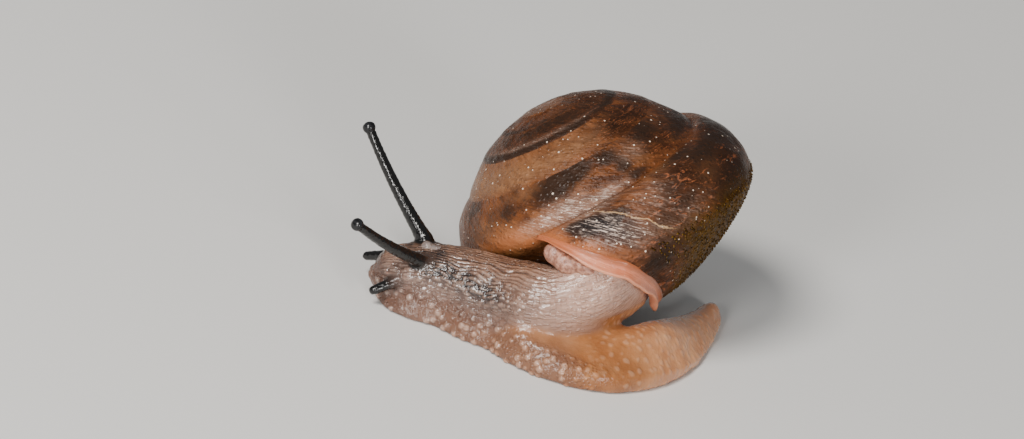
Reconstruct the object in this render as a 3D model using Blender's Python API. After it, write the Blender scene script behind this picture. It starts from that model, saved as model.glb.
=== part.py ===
"""A land snail crawling with its shell rolled towards its right side, at life size.

Metres, +Z up. The sole lies on z = 0, the head points to -X and the tail sweeps
round behind the shell to +Y. The shell is right-handed: seen from its apex it
grows clockwise, and its mouth opens downwards over the middle of the foot.
"""
import math

import bmesh
import bpy
from mathutils import Matrix, Vector

MM = 0.001
GAP = 0.3               # clearance between two nodes that touch
HALF_GAP = GAP / 2

# Shell: sizes in its own frame, with Z along the axis to the apex and z = 0 at
# the level where the lip is inserted. "turn" counts whorls back from the lip.
SUTURE_RADIUS = 7.13        # at the lip
WHORL_STEP = 1.5            # growth of the suture's radius in one whorl
SPIRE_HEIGHT = 4.67         # of the dome that the suture climbs
DOME_POWER = 2.35
LAST_DROP = 0.4             # extra fall of the suture just before the lip
LAST_DROP_TURN = 0.25
CORE_TURN = -3.5            # above this the whorls tighten to the nucleus
FIRST_TURN = -5.0
LIP_BULGE = 0.5             # swelling of the body whorl
LIP_PERIPHERY_DROP = 2.82   # periphery below the insertion, at the lip
LIP_BASE_DROP = 6.76
BASE_RISE = 3.4             # how much higher the base lies one whorl earlier
BASE_RADIUS = 0.33          # base and umbilicus, as shares of the periphery
UMBILICUS_RADIUS = 0.11
UMBILICUS_DEPTH = 0.18
BASE_SHARE = 0.75           # part of the underside's outline that lies outside the umbilicus
SPIRE_SHOULDER = (0.71, -0.62)   # handles of the whorl's outline, by its width and height
SPIRE_SIDE = (-0.18, 0.32)
LIP_SHOULDER = (0.53, 0.05)
LIP_SIDE = (0.2, 0.44)
LIP_AZIMUTH = 235.7
LEAN_PERIPHERY = 30.0       # growth lines trail by this at the periphery
LEAN_UMBILICUS = 58.2
TURN_STEPS = 48
UPPER_STEPS = 6
LOWER_STEPS = 12

# Pose of the shell over the foot.
APEX_ELEVATION = 49.5
APEX_HEADING = 169.4
SHELL_SPIN = 208.5
SHELL_AXIS_POINT = (-1.60, 11.77, 6.43)

LIP_WIDTH = 0.75
LIP_THICKNESS = 0.5
LIP_FLARE = 0.15
COLLAR_STEPS = 1            # how far it reaches back into the whorl
COLLAR_BULGE = 0.5
COLLAR_SHOWN = 1.3          # how far the stalk stands back from the collar in front

# Foot: centre line, half width and height of its side, from snout to tail tip.
FOOT_STATIONS = (
    (-11.05, 5.65, 0.61, 0.30, 0.00),
    (-10.60, 5.51, 1.32, 0.38, 0.00),
    (-9.80, 5.43, 1.95, 0.44, 0.00),
    (-8.60, 5.31, 2.30, 0.50, 0.00),
    (-7.00, 5.13, 2.13, 0.56, 0.00),
    (-5.20, 4.59, 2.36, 0.66, 0.00),
    (-3.40, 4.23, 2.42, 0.80, 0.00),
    (-1.40, 3.08, 2.59, 1.00, 0.00),
    (0.80, 3.05, 2.70, 1.20, 0.10),
    (2.60, 4.15, 2.35, 1.20, 0.60),
    (3.90, 6.13, 2.20, 0.95, 1.25),
    (5.00, 9.01, 1.95, 0.65, 1.10),
    (6.05, 12.02, 1.30, 0.45, 0.70),
    (6.52, 13.70, 0.90, 0.44, 0.62),
    (6.68, 14.60, 0.80, 0.42, 0.56),
    (6.74, 15.60, 0.55, 0.30, 0.32),
)
FOOT_CUTS = (7.8, 13.2, 19.6)     # lengths along the foot where it is parted
FOOT_STEP = 0.8
FOOT_SIDE = ((1.00, 0.35), (0.96, 0.75), (0.84, 1.0))     # rim, by half width and side height
FOOT_BACK = 0.7             # how soon the back's dome falls to the side

# Head and neck: centre, half width and half height, from snout to shell.
NECK_STATIONS = (
    (-11.28, 5.83, 1.14, 0.72, 0.66),
    (-10.98, 5.82, 1.26, 1.10, 0.98),
    (-10.40, 5.79, 1.46, 1.48, 1.30),
    (-9.40, 5.74, 1.76, 1.82, 1.39),
    (-8.30, 5.64, 1.95, 1.90, 1.55),
    (-7.00, 5.39, 2.05, 1.85, 1.78),
    (-5.40, 4.96, 2.15, 1.90, 1.95),
    (-3.80, 4.52, 2.35, 1.95, 2.05),
    (-2.40, 4.02, 2.60, 2.05, 2.20),
)
STALK_RISE = 0.12           # upward slope at which the body leaves the neck
STALK_BEND = (0.45, 0.75)   # length of its curve's handles, above and extra below
HEAD_CUT = 4.1
HEAD_STEP = 0.42
NECK_STEP = 0.6
MOUTH_PLACE = (-11.05, 5.85, 0.98)
LIP_LOBE_SIZE = (0.42, 0.38, 0.34)
LIP_LOBE_APART = 0.34
NECK_SIDES = 24

# Tentacles: where the axis leaves the head and where it ends.
OCULAR_LEFT = ((-8.42, 4.79, 2.71), (-12.87, 1.66, 5.23))
OCULAR_RIGHT = ((-9.04, 6.30, 3.38), (-13.72, 8.98, 7.84))
OCULAR_RADII = (0.43, 0.36, 0.32, 0.27, 0.25)
OCULAR_SAG = 0.18
EYE_RADIUS = 0.37
EYE_LENGTH = 1.7            # of the knob, by its radius
EYE_PROFILE = ((0.0, 0.62), (0.25, 0.86), (0.6, 1.0), (1.0, 1.0), (1.35, 0.82), (1.6, 0.5),
               (1.72, 0.2))
LABIAL_LEFT = ((-9.78, 4.30, 1.60), (-11.10, 3.56, 0.80))
LABIAL_RIGHT = ((-10.35, 6.50, 1.97), (-11.97, 7.30, 1.08))
LABIAL_RADII = (0.30, 0.28, 0.25)
TENTACLE_SIDES = 12
OCULAR_ROOT = 1.0       # length of each tentacle's root that belongs to the head
LABIAL_ROOT = 0.5
ROOT_DEPTH = 0.9            # how far a tentacle's root reaches into the head
ROOT_SWELL = 1.15


def clear_scene():
    for item in list(bpy.data.objects):
        bpy.data.objects.remove(item, do_unlink=True)


def material(name, colour, roughness):
    made = bpy.data.materials.new(name)
    made.use_nodes = True
    shader = made.node_tree.nodes["Principled BSDF"]
    shader.inputs["Base Color"].default_value = (*colour, 1.0)
    shader.inputs["Roughness"].default_value = roughness
    shader.inputs["Metallic"].default_value = 0.0
    return made


def smooth(share):
    share = min(max(share, 0.0), 1.0)
    return share * share * (3 - 2 * share)


def bezier(p0, p1, p2, p3, share):
    rest = 1 - share
    return (p0 * rest ** 3 + p1 * 3 * rest ** 2 * share
            + p2 * 3 * rest * share ** 2 + p3 * share ** 3)


def finish_mesh(name, bm, skin):
    """Turns a bmesh in millimetres into a smooth-shaded object in metres."""
    bmesh.ops.triangulate(bm, faces=bm.faces)
    bmesh.ops.recalc_face_normals(bm, faces=bm.faces)
    bmesh.ops.scale(bm, vec=(MM, MM, MM), verts=bm.verts)
    mesh = bpy.data.meshes.new(name)
    bm.to_mesh(mesh)
    bm.free()
    mesh.shade_smooth()
    mesh.set_sharp_from_angle(angle=math.radians(40))
    made = bpy.data.objects.new(name, mesh)
    made.data.materials.append(skin)
    bpy.context.scene.collection.objects.link(made)
    return made


def followers(verts, new):
    """The new vertex that an extrusion drew out of each old one."""
    return [next(edge.other_vert(vert) for edge in vert.link_edges
                 if edge.other_vert(vert) in new) for vert in verts]


def loft(rings):
    """A closed body through rings of equal count, by repeated extrusion of its end."""
    bm = bmesh.new()
    bmesh.ops.create_circle(bm, cap_ends=True, segments=len(rings[0]), radius=1.0)
    bm.faces.ensure_lookup_table()
    end = bm.faces[0]
    verts = [loop.vert for loop in end.loops]
    for vert, place in zip(verts, rings[0]):
        vert.co = place
    for number, ring in enumerate(rings[1:]):
        made = bmesh.ops.extrude_face_region(bm, geom=[end])["geom"]
        if number:
            bmesh.ops.delete(bm, geom=[end], context="FACES_ONLY")
        end = next(item for item in made if isinstance(item, bmesh.types.BMFace))
        verts = followers(verts, set(end.verts))
        for vert, place in zip(verts, ring):
            vert.co = place
    return bm


def union(name, pieces, skin, solver="EXACT"):
    """Joins closed pieces into the first one and removes the others."""
    group = bpy.data.collections.new(name + "_pieces")
    for piece in pieces[1:]:
        group.objects.link(piece)
    return boolean(name, pieces[0], group, "UNION", skin, solver)


def boolean(name, base, group, operation, skin, solver="EXACT"):
    tool = base.modifiers.new(operation, "BOOLEAN")
    tool.operation = operation
    tool.operand_type = "COLLECTION"
    tool.collection = group
    tool.solver = solver
    graph = bpy.context.evaluated_depsgraph_get()
    mesh = bpy.data.meshes.new_from_object(base.evaluated_get(graph))
    for piece in list(group.objects):
        bpy.data.objects.remove(piece, do_unlink=True)
    bpy.data.collections.remove(group)
    bpy.data.objects.remove(base, do_unlink=True)
    bm = bmesh.new()
    bm.from_mesh(mesh)
    bpy.data.meshes.remove(mesh)
    keep_largest(bm)
    bmesh.ops.scale(bm, vec=(1 / MM, 1 / MM, 1 / MM), verts=bm.verts)
    bmesh.ops.dissolve_degenerate(bm, dist=0.002, edges=bm.edges)
    return finish_mesh(name, bm, skin)


def keep_largest(bm):
    """Drops every closed surface but the one with the most faces."""
    left = set(bm.faces)
    shells = []
    while left:
        front = [left.pop()]
        shell = set(front)
        while front:
            for edge in front.pop().edges:
                for face in edge.link_faces:
                    if face in left:
                        left.discard(face)
                        shell.add(face)
                        front.append(face)
        shells.append(shell)
    largest = max(shells, key=len)
    scraps = [face for face in bm.faces if face not in largest]
    bmesh.ops.delete(bm, geom=scraps, context="FACES")


def swollen_copy(source, name, amount):
    """A copy pushed out along its normals, to cut a clearance with."""
    bm = bmesh.new()
    bm.from_mesh(source.data)
    bm.normal_update()
    shifts = {vert: vert.normal * amount * MM for vert in bm.verts}
    for vert, shift in shifts.items():
        vert.co += shift
    bmesh.ops.scale(bm, vec=(1 / MM, 1 / MM, 1 / MM), verts=bm.verts)
    return finish_mesh(name, bm, source.data.materials[0])


def cut(target, cutter_source, amount, solver="MANIFOLD"):
    """Cuts a neighbour out of a node, with a clearance all round it."""
    name = target.name
    target.name = name + "_raw"
    skin = target.data.materials[0]
    group = bpy.data.collections.new(name + "_cutters")
    group.objects.link(swollen_copy(cutter_source, name + "_cutter", amount))
    return boolean(name, target, group, "DIFFERENCE", skin, solver)


# Shell

def suture_radius(turn):
    if turn >= CORE_TURN:
        return SUTURE_RADIUS + WHORL_STEP * turn
    core = SUTURE_RADIUS + WHORL_STEP * CORE_TURN
    return core * math.exp((turn - CORE_TURN) * WHORL_STEP / core)


def suture_height(turn):
    dome = SPIRE_HEIGHT * (1 - (suture_radius(turn) / SUTURE_RADIUS) ** DOME_POWER)
    return dome + LAST_DROP * (1 - math.exp(min(turn, 0.0) / LAST_DROP_TURN))


def periphery(turn):
    if turn <= -1:
        return Vector((suture_radius(turn + 1), suture_height(turn + 1)))
    radius = suture_radius(turn + 1) + LIP_BULGE * smooth((turn + 0.82) / 0.6)
    height = -LIP_PERIPHERY_DROP * (1 - max(-turn, 0.0) ** 1.5)
    return Vector((radius, height))


def upper_arc(turn, share):
    """Whorl outline from the suture to the periphery, as (radius, height)."""
    start = Vector((suture_radius(turn), suture_height(turn)))
    end = periphery(turn)
    wide, tall = end.x - start.x, start.y - end.y
    full = smooth(turn + 1.4)
    shoulder = Vector(SPIRE_SHOULDER).lerp(Vector(LIP_SHOULDER), full)
    side = Vector(SPIRE_SIDE).lerp(Vector(LIP_SIDE), full)
    return bezier(start, start + Vector((shoulder.x * wide, shoulder.y * tall)),
                  end + Vector((side.x * wide, side.y * tall)), end, share)


def lower_arc(turn, share):
    """Outline of the body whorl from the periphery to the umbilicus."""
    side = periphery(turn)
    base_height = -LIP_BASE_DROP + BASE_RISE * max(-turn, 0.0) ** 1.6
    base = Vector((BASE_RADIUS * side.x, base_height))
    hole = Vector((UMBILICUS_RADIUS * side.x, base_height + UMBILICUS_DEPTH * side.x))
    if share < BASE_SHARE:
        return bezier(side, side + Vector((0.0, 0.32 * (base_height - side.y))),
                      base + Vector((0.18 * (side.x - base.x), 0.0)), base, share / BASE_SHARE)
    deep = hole.y - base.y
    return bezier(base, base - Vector((0.6 * (base.x - hole.x), 0.0)),
                  hole - Vector((0.0, 0.6 * deep)), hole, (share - BASE_SHARE) / (1 - BASE_SHARE))


def shell_matrix():
    return (Matrix.Translation(SHELL_AXIS_POINT)
            @ Matrix.Rotation(math.radians(APEX_HEADING), 4, "Z")
            @ Matrix.Rotation(math.radians(90 - APEX_ELEVATION), 4, "Y")
            @ Matrix.Rotation(math.radians(SHELL_SPIN), 4, "Z"))


def shell_point(step, arc, share):
    """A point on growth line number step, counted back from the lip at 0."""
    if arc == "upper":
        lean = LEAN_PERIPHERY * share
    else:
        lean = LEAN_PERIPHERY + (LEAN_UMBILICUS - LEAN_PERIPHERY) * share
    turn = step / TURN_STEPS - lean / 360
    azimuth = math.radians(LIP_AZIMUTH - 360 * turn)
    outline = upper_arc(turn, share) if arc == "upper" else lower_arc(turn, share)
    local = Vector((outline.x * math.cos(azimuth), outline.x * math.sin(azimuth), outline.y))
    return shell_matrix() @ local


def growth_line(step, arc, count):
    return [shell_point(step, arc, index / count) for index in range(count + 1)]


def sweep_arc(bm, first_step, arc, count):
    """Extrudes one growth line step by step up to the lip."""
    verts = [bm.verts.new(place) for place in growth_line(first_step, arc, count)]
    edges = [bm.edges.new(pair) for pair in zip(verts, verts[1:])]
    for step in range(first_step + 1, 1):
        made = bmesh.ops.extrude_edge_only(bm, edges=edges)["geom"]
        verts = followers(verts, {item for item in made if isinstance(item, bmesh.types.BMVert)})
        for vert, place in zip(verts, growth_line(step, arc, count)):
            vert.co = place
        edges = [bm.edges.get(pair) for pair in zip(verts, verts[1:])]


def lean_steps():
    return round(LEAN_PERIPHERY / 360 * TURN_STEPS)


def parietal_step():
    """The growth line whose periphery meets the lip's insertion."""
    return lean_steps() - TURN_STEPS


def vert_at(bm, place):
    return min(bm.verts, key=lambda vert: (vert.co - place).length_squared)


def fill_and_poke(bm, places, lift):
    """Closes a rim with a fan of faces whose middle is moved by a lift."""
    face = bm.faces.new([vert_at(bm, place) for place in places])
    for vert in bmesh.ops.poke(bm, faces=[face])["verts"]:
        vert.co += lift


def make_shell(skin):
    bm = bmesh.new()
    first = round(FIRST_TURN * TURN_STEPS)
    sweep_arc(bm, first, "upper", UPPER_STEPS)
    sweep_arc(bm, parietal_step(), "lower", LOWER_STEPS)
    bmesh.ops.remove_doubles(bm, verts=bm.verts, dist=0.01)
    axis = shell_matrix().to_3x3() @ Vector((0, 0, 1))
    lip, wall = mouth_loop()
    _, normal, _, _ = mouth_frame()
    fill_and_poke(bm, lip + wall, -normal * 0.5)
    fill_and_poke(bm, [shell_point(step, "lower", 1.0) for step in range(parietal_step(), 1)],
                  axis * 0.3)
    nucleus = [shell_point(step, "upper", 0.0)
               for step in range(first, first + TURN_STEPS - lean_steps())]
    fill_and_poke(bm, nucleus + growth_line(first, "upper", UPPER_STEPS)[:0:-1], axis * 0.12)
    return finish_mesh("shell", bm, skin)


def mouth_loop(step=0):
    """The edge of the shell's mouth, or of its bore a few steps further in."""
    lip = growth_line(step, "upper", UPPER_STEPS) + growth_line(step, "lower", LOWER_STEPS)[1:]
    wall = growth_line(parietal_step() + step, "lower", LOWER_STEPS)
    return lip, wall[::-1][:-1]


def mouth_frame(step=0):
    """Centre of the mouth, and the directions outwards, to the far side and forwards."""
    lip, wall = mouth_loop(step)
    points = lip + wall
    centre = sum(points, Vector()) / len(points)
    normal = Vector()
    for here, there in zip(points, points[1:] + points[:1]):
        normal += (here - centre).cross(there - centre)
    normal.normalize()
    if normal.z > 0:
        normal.negate()
    forward = Vector((-1, 0, 0))
    forward = (forward - normal * forward.dot(normal)).normalized()
    far = forward.cross(normal)
    if far.y < 0:
        far.negate()
    return centre, normal, far, forward


def mouth_reach(angle, step, centre, far, forward):
    """How far the mouth's edge lies from its centre in one direction of its plane."""
    lip, wall = mouth_loop(step)
    flat = []
    for point in lip + wall:
        offset = point - centre
        flat.append(Vector((offset.dot(far), offset.dot(forward))))
    ray = Vector((math.cos(angle), math.sin(angle)))
    best = 0.0
    for here, there in zip(flat, flat[1:] + flat[:1]):
        edge = there - here
        cross = ray.x * edge.y - ray.y * edge.x
        if abs(cross) < 1e-9:
            continue
        along_ray = (here.x * edge.y - here.y * edge.x) / cross
        share = (here.x * ray.y - here.y * ray.x) / cross
        if along_ray > 0 and 0 <= share <= 1:
            best = max(best, along_ray)
    return best


def mouth_ring(inset, shift, front_inset=0.0, step=0):
    """A ring inside the mouth, inset from its edge, most in front, and shifted outwards."""
    centre, normal, far, forward = mouth_frame(step)
    ring = []
    for index in range(NECK_SIDES):
        angle = 2 * math.pi * index / NECK_SIDES
        reach = mouth_reach(angle, step, centre, far, forward) - inset
        reach -= front_inset * max(math.sin(angle), 0.0) ** 2
        ring.append(centre + far * math.cos(angle) * reach
                    + forward * math.sin(angle) * reach + normal * shift)
    return ring


def make_lip(skin):
    """The lip is a band along the outer and basal edge of the mouth."""
    centre, normal, _, _ = mouth_frame()
    lip, _ = mouth_loop()
    stations = lip[1:-4]
    rings = []
    for index, point in enumerate(stations):
        share = index / (len(stations) - 1)
        width = LIP_WIDTH * (0.45 + 0.55 * smooth(min(share, 1 - share) * 5))
        inwards = centre - point
        inwards = (inwards - normal * inwards.dot(normal)).normalized()
        outer = point - inwards * LIP_FLARE + normal * GAP
        inner = point + inwards * width + normal * GAP
        lift = normal * LIP_THICKNESS
        rings.append([outer, outer + lift * 0.6, outer + inwards * 0.15 + lift,
                      inner - inwards * 0.15 + lift, inner + lift * 0.6, inner])
    return finish_mesh("shell_lip", loft(rings), skin)


def make_collar(skin):
    """The mantle collar fills the mouth of the shell behind the lip."""
    inset = LIP_WIDTH + GAP
    rings = [mouth_ring(inset + 0.5, 0.0, step=-COLLAR_STEPS), mouth_ring(inset, 0.0),
             mouth_ring(inset + 0.25, COLLAR_BULGE)]
    return finish_mesh("mantle_collar", loft(rings), skin)


# Body

def along(stations):
    """Lengths along a row of stations, measured in plan."""
    lengths = [0.0]
    for here, there in zip(stations, stations[1:]):
        lengths.append(lengths[-1] + math.hypot(there[0] - here[0], there[1] - here[1]))
    return lengths


def at_length(stations, length):
    """Values at a length along the stations, by a smooth cubic through them."""
    lengths = along(stations)
    last = len(stations) - 2
    index = min(max(sum(mark <= length for mark in lengths) - 1, 0), last)
    span = lengths[index + 1] - lengths[index]
    share = min(max((length - lengths[index]) / span, 0.0), 1.0)

    def slope(place, column):
        low, high = max(place - 1, 0), min(place + 1, len(stations) - 1)
        return (stations[high][column] - stations[low][column]) / (lengths[high] - lengths[low])

    values = []
    for column in range(len(stations[0])):
        start, end = stations[index][column], stations[index + 1][column]
        rise_0, rise_1 = slope(index, column) * span, slope(index + 1, column) * span
        values.append((2 * share ** 3 - 3 * share ** 2 + 1) * start
                      + (share ** 3 - 2 * share ** 2 + share) * rise_0
                      + (3 * share ** 2 - 2 * share ** 3) * end
                      + (share ** 3 - share ** 2) * rise_1)
    return values


def heading(stations, length):
    step = 0.05
    last = along(stations)[-1]
    back = at_length(stations, max(length - step, 0.0))
    ahead = at_length(stations, min(length + step, last))
    return Vector((ahead[0] - back[0], ahead[1] - back[1], 0.0)).normalized()


def lengths_between(start, end, step):
    count = max(2, round((end - start) / step))
    return [start + (end - start) * index / count for index in range(count + 1)]


def foot_ring(length):
    """Cross-section of the foot: flat sole, rounded rim, level or domed back."""
    x, y, half, side, dome = at_length(FOOT_STATIONS, length)
    ahead = heading(FOOT_STATIONS, length)
    across = Vector((-ahead.y, ahead.x, 0.0))
    outline = [(wide, 0.0) for wide in (-0.90, -0.45, 0.0, 0.45, 0.90)] + list(FOOT_SIDE)
    for share in (0.55, 0.0, -0.55):
        outline.append((share, 1.0 + dome / side * (1 - share ** 2 / FOOT_BACK)))
    outline += [(-wide, tall) for wide, tall in FOOT_SIDE[::-1]]
    centre = Vector((x, y, 0.0))
    return [centre + across * half * wide + Vector((0, 0, side * tall)) for wide, tall in outline]


def make_foot(skins):
    end = along(FOOT_STATIONS)[-1]
    marks = [0.0, *FOOT_CUTS, end]
    names = ("foot_front", "foot_middle", "tail_base", "tail_tip")
    for name, skin, start, stop in zip(names, skins, marks, marks[1:]):
        start += HALF_GAP if start else 0.0
        stop -= HALF_GAP if stop < end else 0.0
        rings = [foot_ring(length) for length in lengths_between(start, stop, FOOT_STEP)]
        finish_mesh(name, loft(rings), skin)


def foot_top(point):
    """Height of the foot's back under a point."""
    lengths = along(FOOT_STATIONS)
    end = lengths[-1]
    best = min((end * index / 80 for index in range(81)),
               key=lambda mark: math.hypot(at_length(FOOT_STATIONS, mark)[0] - point.x,
                                           at_length(FOOT_STATIONS, mark)[1] - point.y))
    values = at_length(FOOT_STATIONS, best)
    return values[3] + values[4]


def neck_ring(length):
    """Cross-section of head or neck: an ellipse cut level above the foot."""
    x, y, z, half, tall = at_length(NECK_STATIONS, length)
    ahead = heading(NECK_STATIONS, length)
    across = Vector((-ahead.y, ahead.x, 0.0))
    if across.y < 0:
        across.negate()
    ring = []
    floor = foot_top(Vector((x, y, 0.0))) + GAP
    for index in range(NECK_SIDES):
        angle = 2 * math.pi * index / NECK_SIDES
        place = (Vector((x, y, z)) + across * half * math.cos(angle)
                 + Vector((0, 0, tall * math.sin(angle))))
        place.z = max(place.z, floor)
        ring.append(place)
    return ring


def tube_rings(start, end, radii, sag, from_share=0.0, to_share=1.0, count=5):
    """Rings round a slightly bent axis, with a radius that follows the list."""
    start, end = Vector(start), Vector(end)
    axis = end - start
    side = axis.cross(Vector((0, 0, 1))).normalized()
    up = side.cross(axis).normalized()

    def centre(share):
        return start + axis * share - up * sag * math.sin(math.pi * share)

    rings = []
    for index in range(count + 1):
        share = from_share + (to_share - from_share) * index / count
        place = share * (len(radii) - 1)
        low = min(int(place), len(radii) - 2)
        radius = radii[low] + (radii[low + 1] - radii[low]) * (place - low)
        ahead = (centre(share + 0.01) - centre(share - 0.01)).normalized()
        local_side = ahead.cross(Vector((0, 0, 1))).normalized()
        local_up = local_side.cross(ahead).normalized()
        rings.append([centre(share) + local_side * radius * math.cos(turn)
                      + local_up * radius * math.sin(turn)
                      for turn in (2 * math.pi * side_index / TENTACLE_SIDES
                                   for side_index in range(TENTACLE_SIDES))])
    return rings


def make_boss(ends, radii, sag, reach, skin):
    """The root of a tentacle, which is part of the head."""
    start, end = Vector(ends[0]), Vector(ends[1])
    inside = start + (start - end).normalized() * ROOT_DEPTH
    wide = (radii[0] * ROOT_SWELL, radii[0])
    rings = tube_rings(inside, end, wide, 0.0, 0.0, 0.1, 1)
    share = reach / (end - start).length
    rings = rings[:1] + tube_rings(start, end, radii, sag, share * 0.5, share, 2)
    return finish_mesh("root", loft(rings), skin)


def tentacles():
    """Name, axis ends, radii, sag and root length of each tentacle."""
    return (("ocular_left", OCULAR_LEFT, OCULAR_RADII, OCULAR_SAG, OCULAR_ROOT),
            ("ocular_right", OCULAR_RIGHT, OCULAR_RADII, OCULAR_SAG, OCULAR_ROOT),
            ("labial_left", LABIAL_LEFT, LABIAL_RADII, 0.0, LABIAL_ROOT),
            ("labial_right", LABIAL_RIGHT, LABIAL_RADII, 0.0, LABIAL_ROOT))


def make_head(skin):
    rings = [neck_ring(length) for length in lengths_between(0.0, HEAD_CUT - HALF_GAP, HEAD_STEP)]
    pieces = [finish_mesh("head_core", loft(rings), skin)]
    for _, ends, radii, sag, root in tentacles():
        pieces.append(make_boss(ends, radii, sag, root, skin))
    for side in (-1, 1):
        bm = bmesh.new()
        bmesh.ops.create_icosphere(bm, subdivisions=2, radius=1.0)
        bmesh.ops.scale(bm, vec=LIP_LOBE_SIZE, verts=bm.verts)
        middle = Vector(MOUTH_PLACE) + Vector((0, LIP_LOBE_APART * side, 0))
        bmesh.ops.translate(bm, vec=middle, verts=bm.verts)
        pieces.append(finish_mesh("lip_lobe", bm, skin))
    return union("head", pieces, skin)


def make_tentacles(black, eye_skin):
    for name, ends, radii, sag, root in tentacles():
        length = (Vector(ends[1]) - Vector(ends[0])).length
        start = (root + GAP) / length
        half = HALF_GAP / length
        if name.startswith("labial"):
            finish_mesh(name, loft(tube_rings(*ends, radii, sag, start, 1.0, 3)), black)
            continue
        eye_start = 1 - EYE_LENGTH * EYE_RADIUS / length
        base = tube_rings(*ends, radii, sag, start, 0.5 - half, 4)
        tip = tube_rings(*ends, radii, sag, 0.5 + half, eye_start - 2 * half, 4)
        finish_mesh(name + "_base", loft(base), black)
        finish_mesh(name + "_tip", loft(tip), black)
        make_eye(name.replace("ocular", "eye"), ends, sag, eye_start, eye_skin)


def make_eye(name, ends, sag, start, skin):
    """The knob that carries the eye at the end of an upper tentacle."""
    length = (Vector(ends[1]) - Vector(ends[0])).length
    rings = []
    for depth, share in EYE_PROFILE:
        place = start + depth * EYE_RADIUS / length
        radii = (EYE_RADIUS * share, EYE_RADIUS * share)
        rings.append(tube_rings(*ends, radii, sag, place, place, 1)[0])
    finish_mesh(name, loft(rings), skin)


def make_neck(skin):
    end = along(NECK_STATIONS)[-1]
    marks = lengths_between(HEAD_CUT + HALF_GAP, end - HALF_GAP, NECK_STEP)
    return finish_mesh("neck", loft([neck_ring(length) for length in marks]), skin)


def make_stalk(skin):
    """The body rises from the end of the neck and the foot into the shell's mouth."""
    end = along(NECK_STATIONS)[-1]
    first = neck_ring(end)
    ahead = heading(NECK_STATIONS, end)
    offset = ahead * HALF_GAP
    _, normal, _, _ = mouth_frame()
    last = mouth_ring(LIP_WIDTH + GAP, COLLAR_BULGE + GAP, COLLAR_SHOWN)
    steps = 9
    rings = []
    for step in range(steps + 1):
        share = step / steps
        ring = []
        for index, (here, there) in enumerate(zip(first, last)):
            here = here + offset
            reach = (there - here).length
            low = 0.5 - 0.5 * math.sin(2 * math.pi * index / NECK_SIDES)
            handle = reach * (STALK_BEND[0] + STALK_BEND[1] * low)
            out = (ahead + Vector((0, 0, STALK_RISE))).normalized() * handle
            into = -normal * handle
            place = ((2 * share ** 3 - 3 * share ** 2 + 1) * here
                     + (share ** 3 - 2 * share ** 2 + share) * out
                     + (3 * share ** 2 - 2 * share ** 3) * there
                     + (share ** 3 - share ** 2) * into)
            place.z = max(place.z, foot_top(place) + GAP)
            ring.append(place)
        rings.append(ring)
    return finish_mesh("stalk", loft(rings), skin)


def centre_on_floor():
    """Moves everything so that the origin is under the middle of the snail."""
    pieces = list(bpy.data.objects)
    places = [vert.co for piece in pieces for vert in piece.data.vertices]
    low = Vector(min(place[axis] for place in places) for axis in range(3))
    high = Vector(max(place[axis] for place in places) for axis in range(3))
    shift = Vector((-(low.x + high.x) / 2, -(low.y + high.y) / 2, -low.z))
    for piece in pieces:
        piece.data.transform(Matrix.Translation(shift))
    print("centred by mm", [round(value / MM, 4) for value in shift],
          "size mm", [round(value / MM, 2) for value in high - low])


def build():
    clear_scene()
    shell_skin = material("shell_brown", (0.16, 0.065, 0.03), 0.42)
    lip_skin = material("shell_lip_pink", (0.48, 0.22, 0.16), 0.35)
    collar_skin = material("mantle_pink", (0.45, 0.25, 0.22), 0.3)
    neck_skin = material("skin_grey", (0.20, 0.15, 0.145), 0.3)
    foot_skin = material("skin_foot", (0.36, 0.22, 0.18), 0.3)
    black = material("tentacle_black", (0.015, 0.014, 0.018), 0.25)
    eye_skin = material("eye_dark", (0.03, 0.03, 0.04), 0.15)

    shell = make_shell(shell_skin)
    make_lip(lip_skin)
    collar = make_collar(collar_skin)
    head = make_head(neck_skin)
    neck = make_neck(neck_skin)
    stalk = make_stalk(neck_skin)
    make_foot((foot_skin, foot_skin, foot_skin, foot_skin))
    make_tentacles(black, eye_skin)
    shell = cut(shell, collar, GAP)
    for piece in (head, neck, stalk):
        cut(piece, shell, GAP)
    centre_on_floor()


build()
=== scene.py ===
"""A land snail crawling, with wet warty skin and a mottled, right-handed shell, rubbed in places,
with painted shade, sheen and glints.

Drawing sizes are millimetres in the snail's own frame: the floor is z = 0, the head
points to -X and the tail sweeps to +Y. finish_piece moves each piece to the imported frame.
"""
import math

import bmesh
import bpy
import numpy as np
from mathutils import Matrix, Vector, noise


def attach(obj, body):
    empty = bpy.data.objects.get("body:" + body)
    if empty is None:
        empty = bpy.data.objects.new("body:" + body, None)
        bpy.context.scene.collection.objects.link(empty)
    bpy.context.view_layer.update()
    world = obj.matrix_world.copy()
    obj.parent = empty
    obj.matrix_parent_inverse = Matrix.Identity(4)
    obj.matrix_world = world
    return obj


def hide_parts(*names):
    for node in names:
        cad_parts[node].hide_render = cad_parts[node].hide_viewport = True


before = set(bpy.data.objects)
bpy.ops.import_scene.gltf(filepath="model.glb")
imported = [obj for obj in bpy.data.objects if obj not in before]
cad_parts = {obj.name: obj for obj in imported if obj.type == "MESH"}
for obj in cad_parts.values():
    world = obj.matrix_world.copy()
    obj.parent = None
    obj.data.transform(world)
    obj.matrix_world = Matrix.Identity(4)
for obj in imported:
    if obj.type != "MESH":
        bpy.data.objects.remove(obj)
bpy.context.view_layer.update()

MM = 0.001
CENTRING = Vector((3.2111, -9.9679, 0.0))

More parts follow.
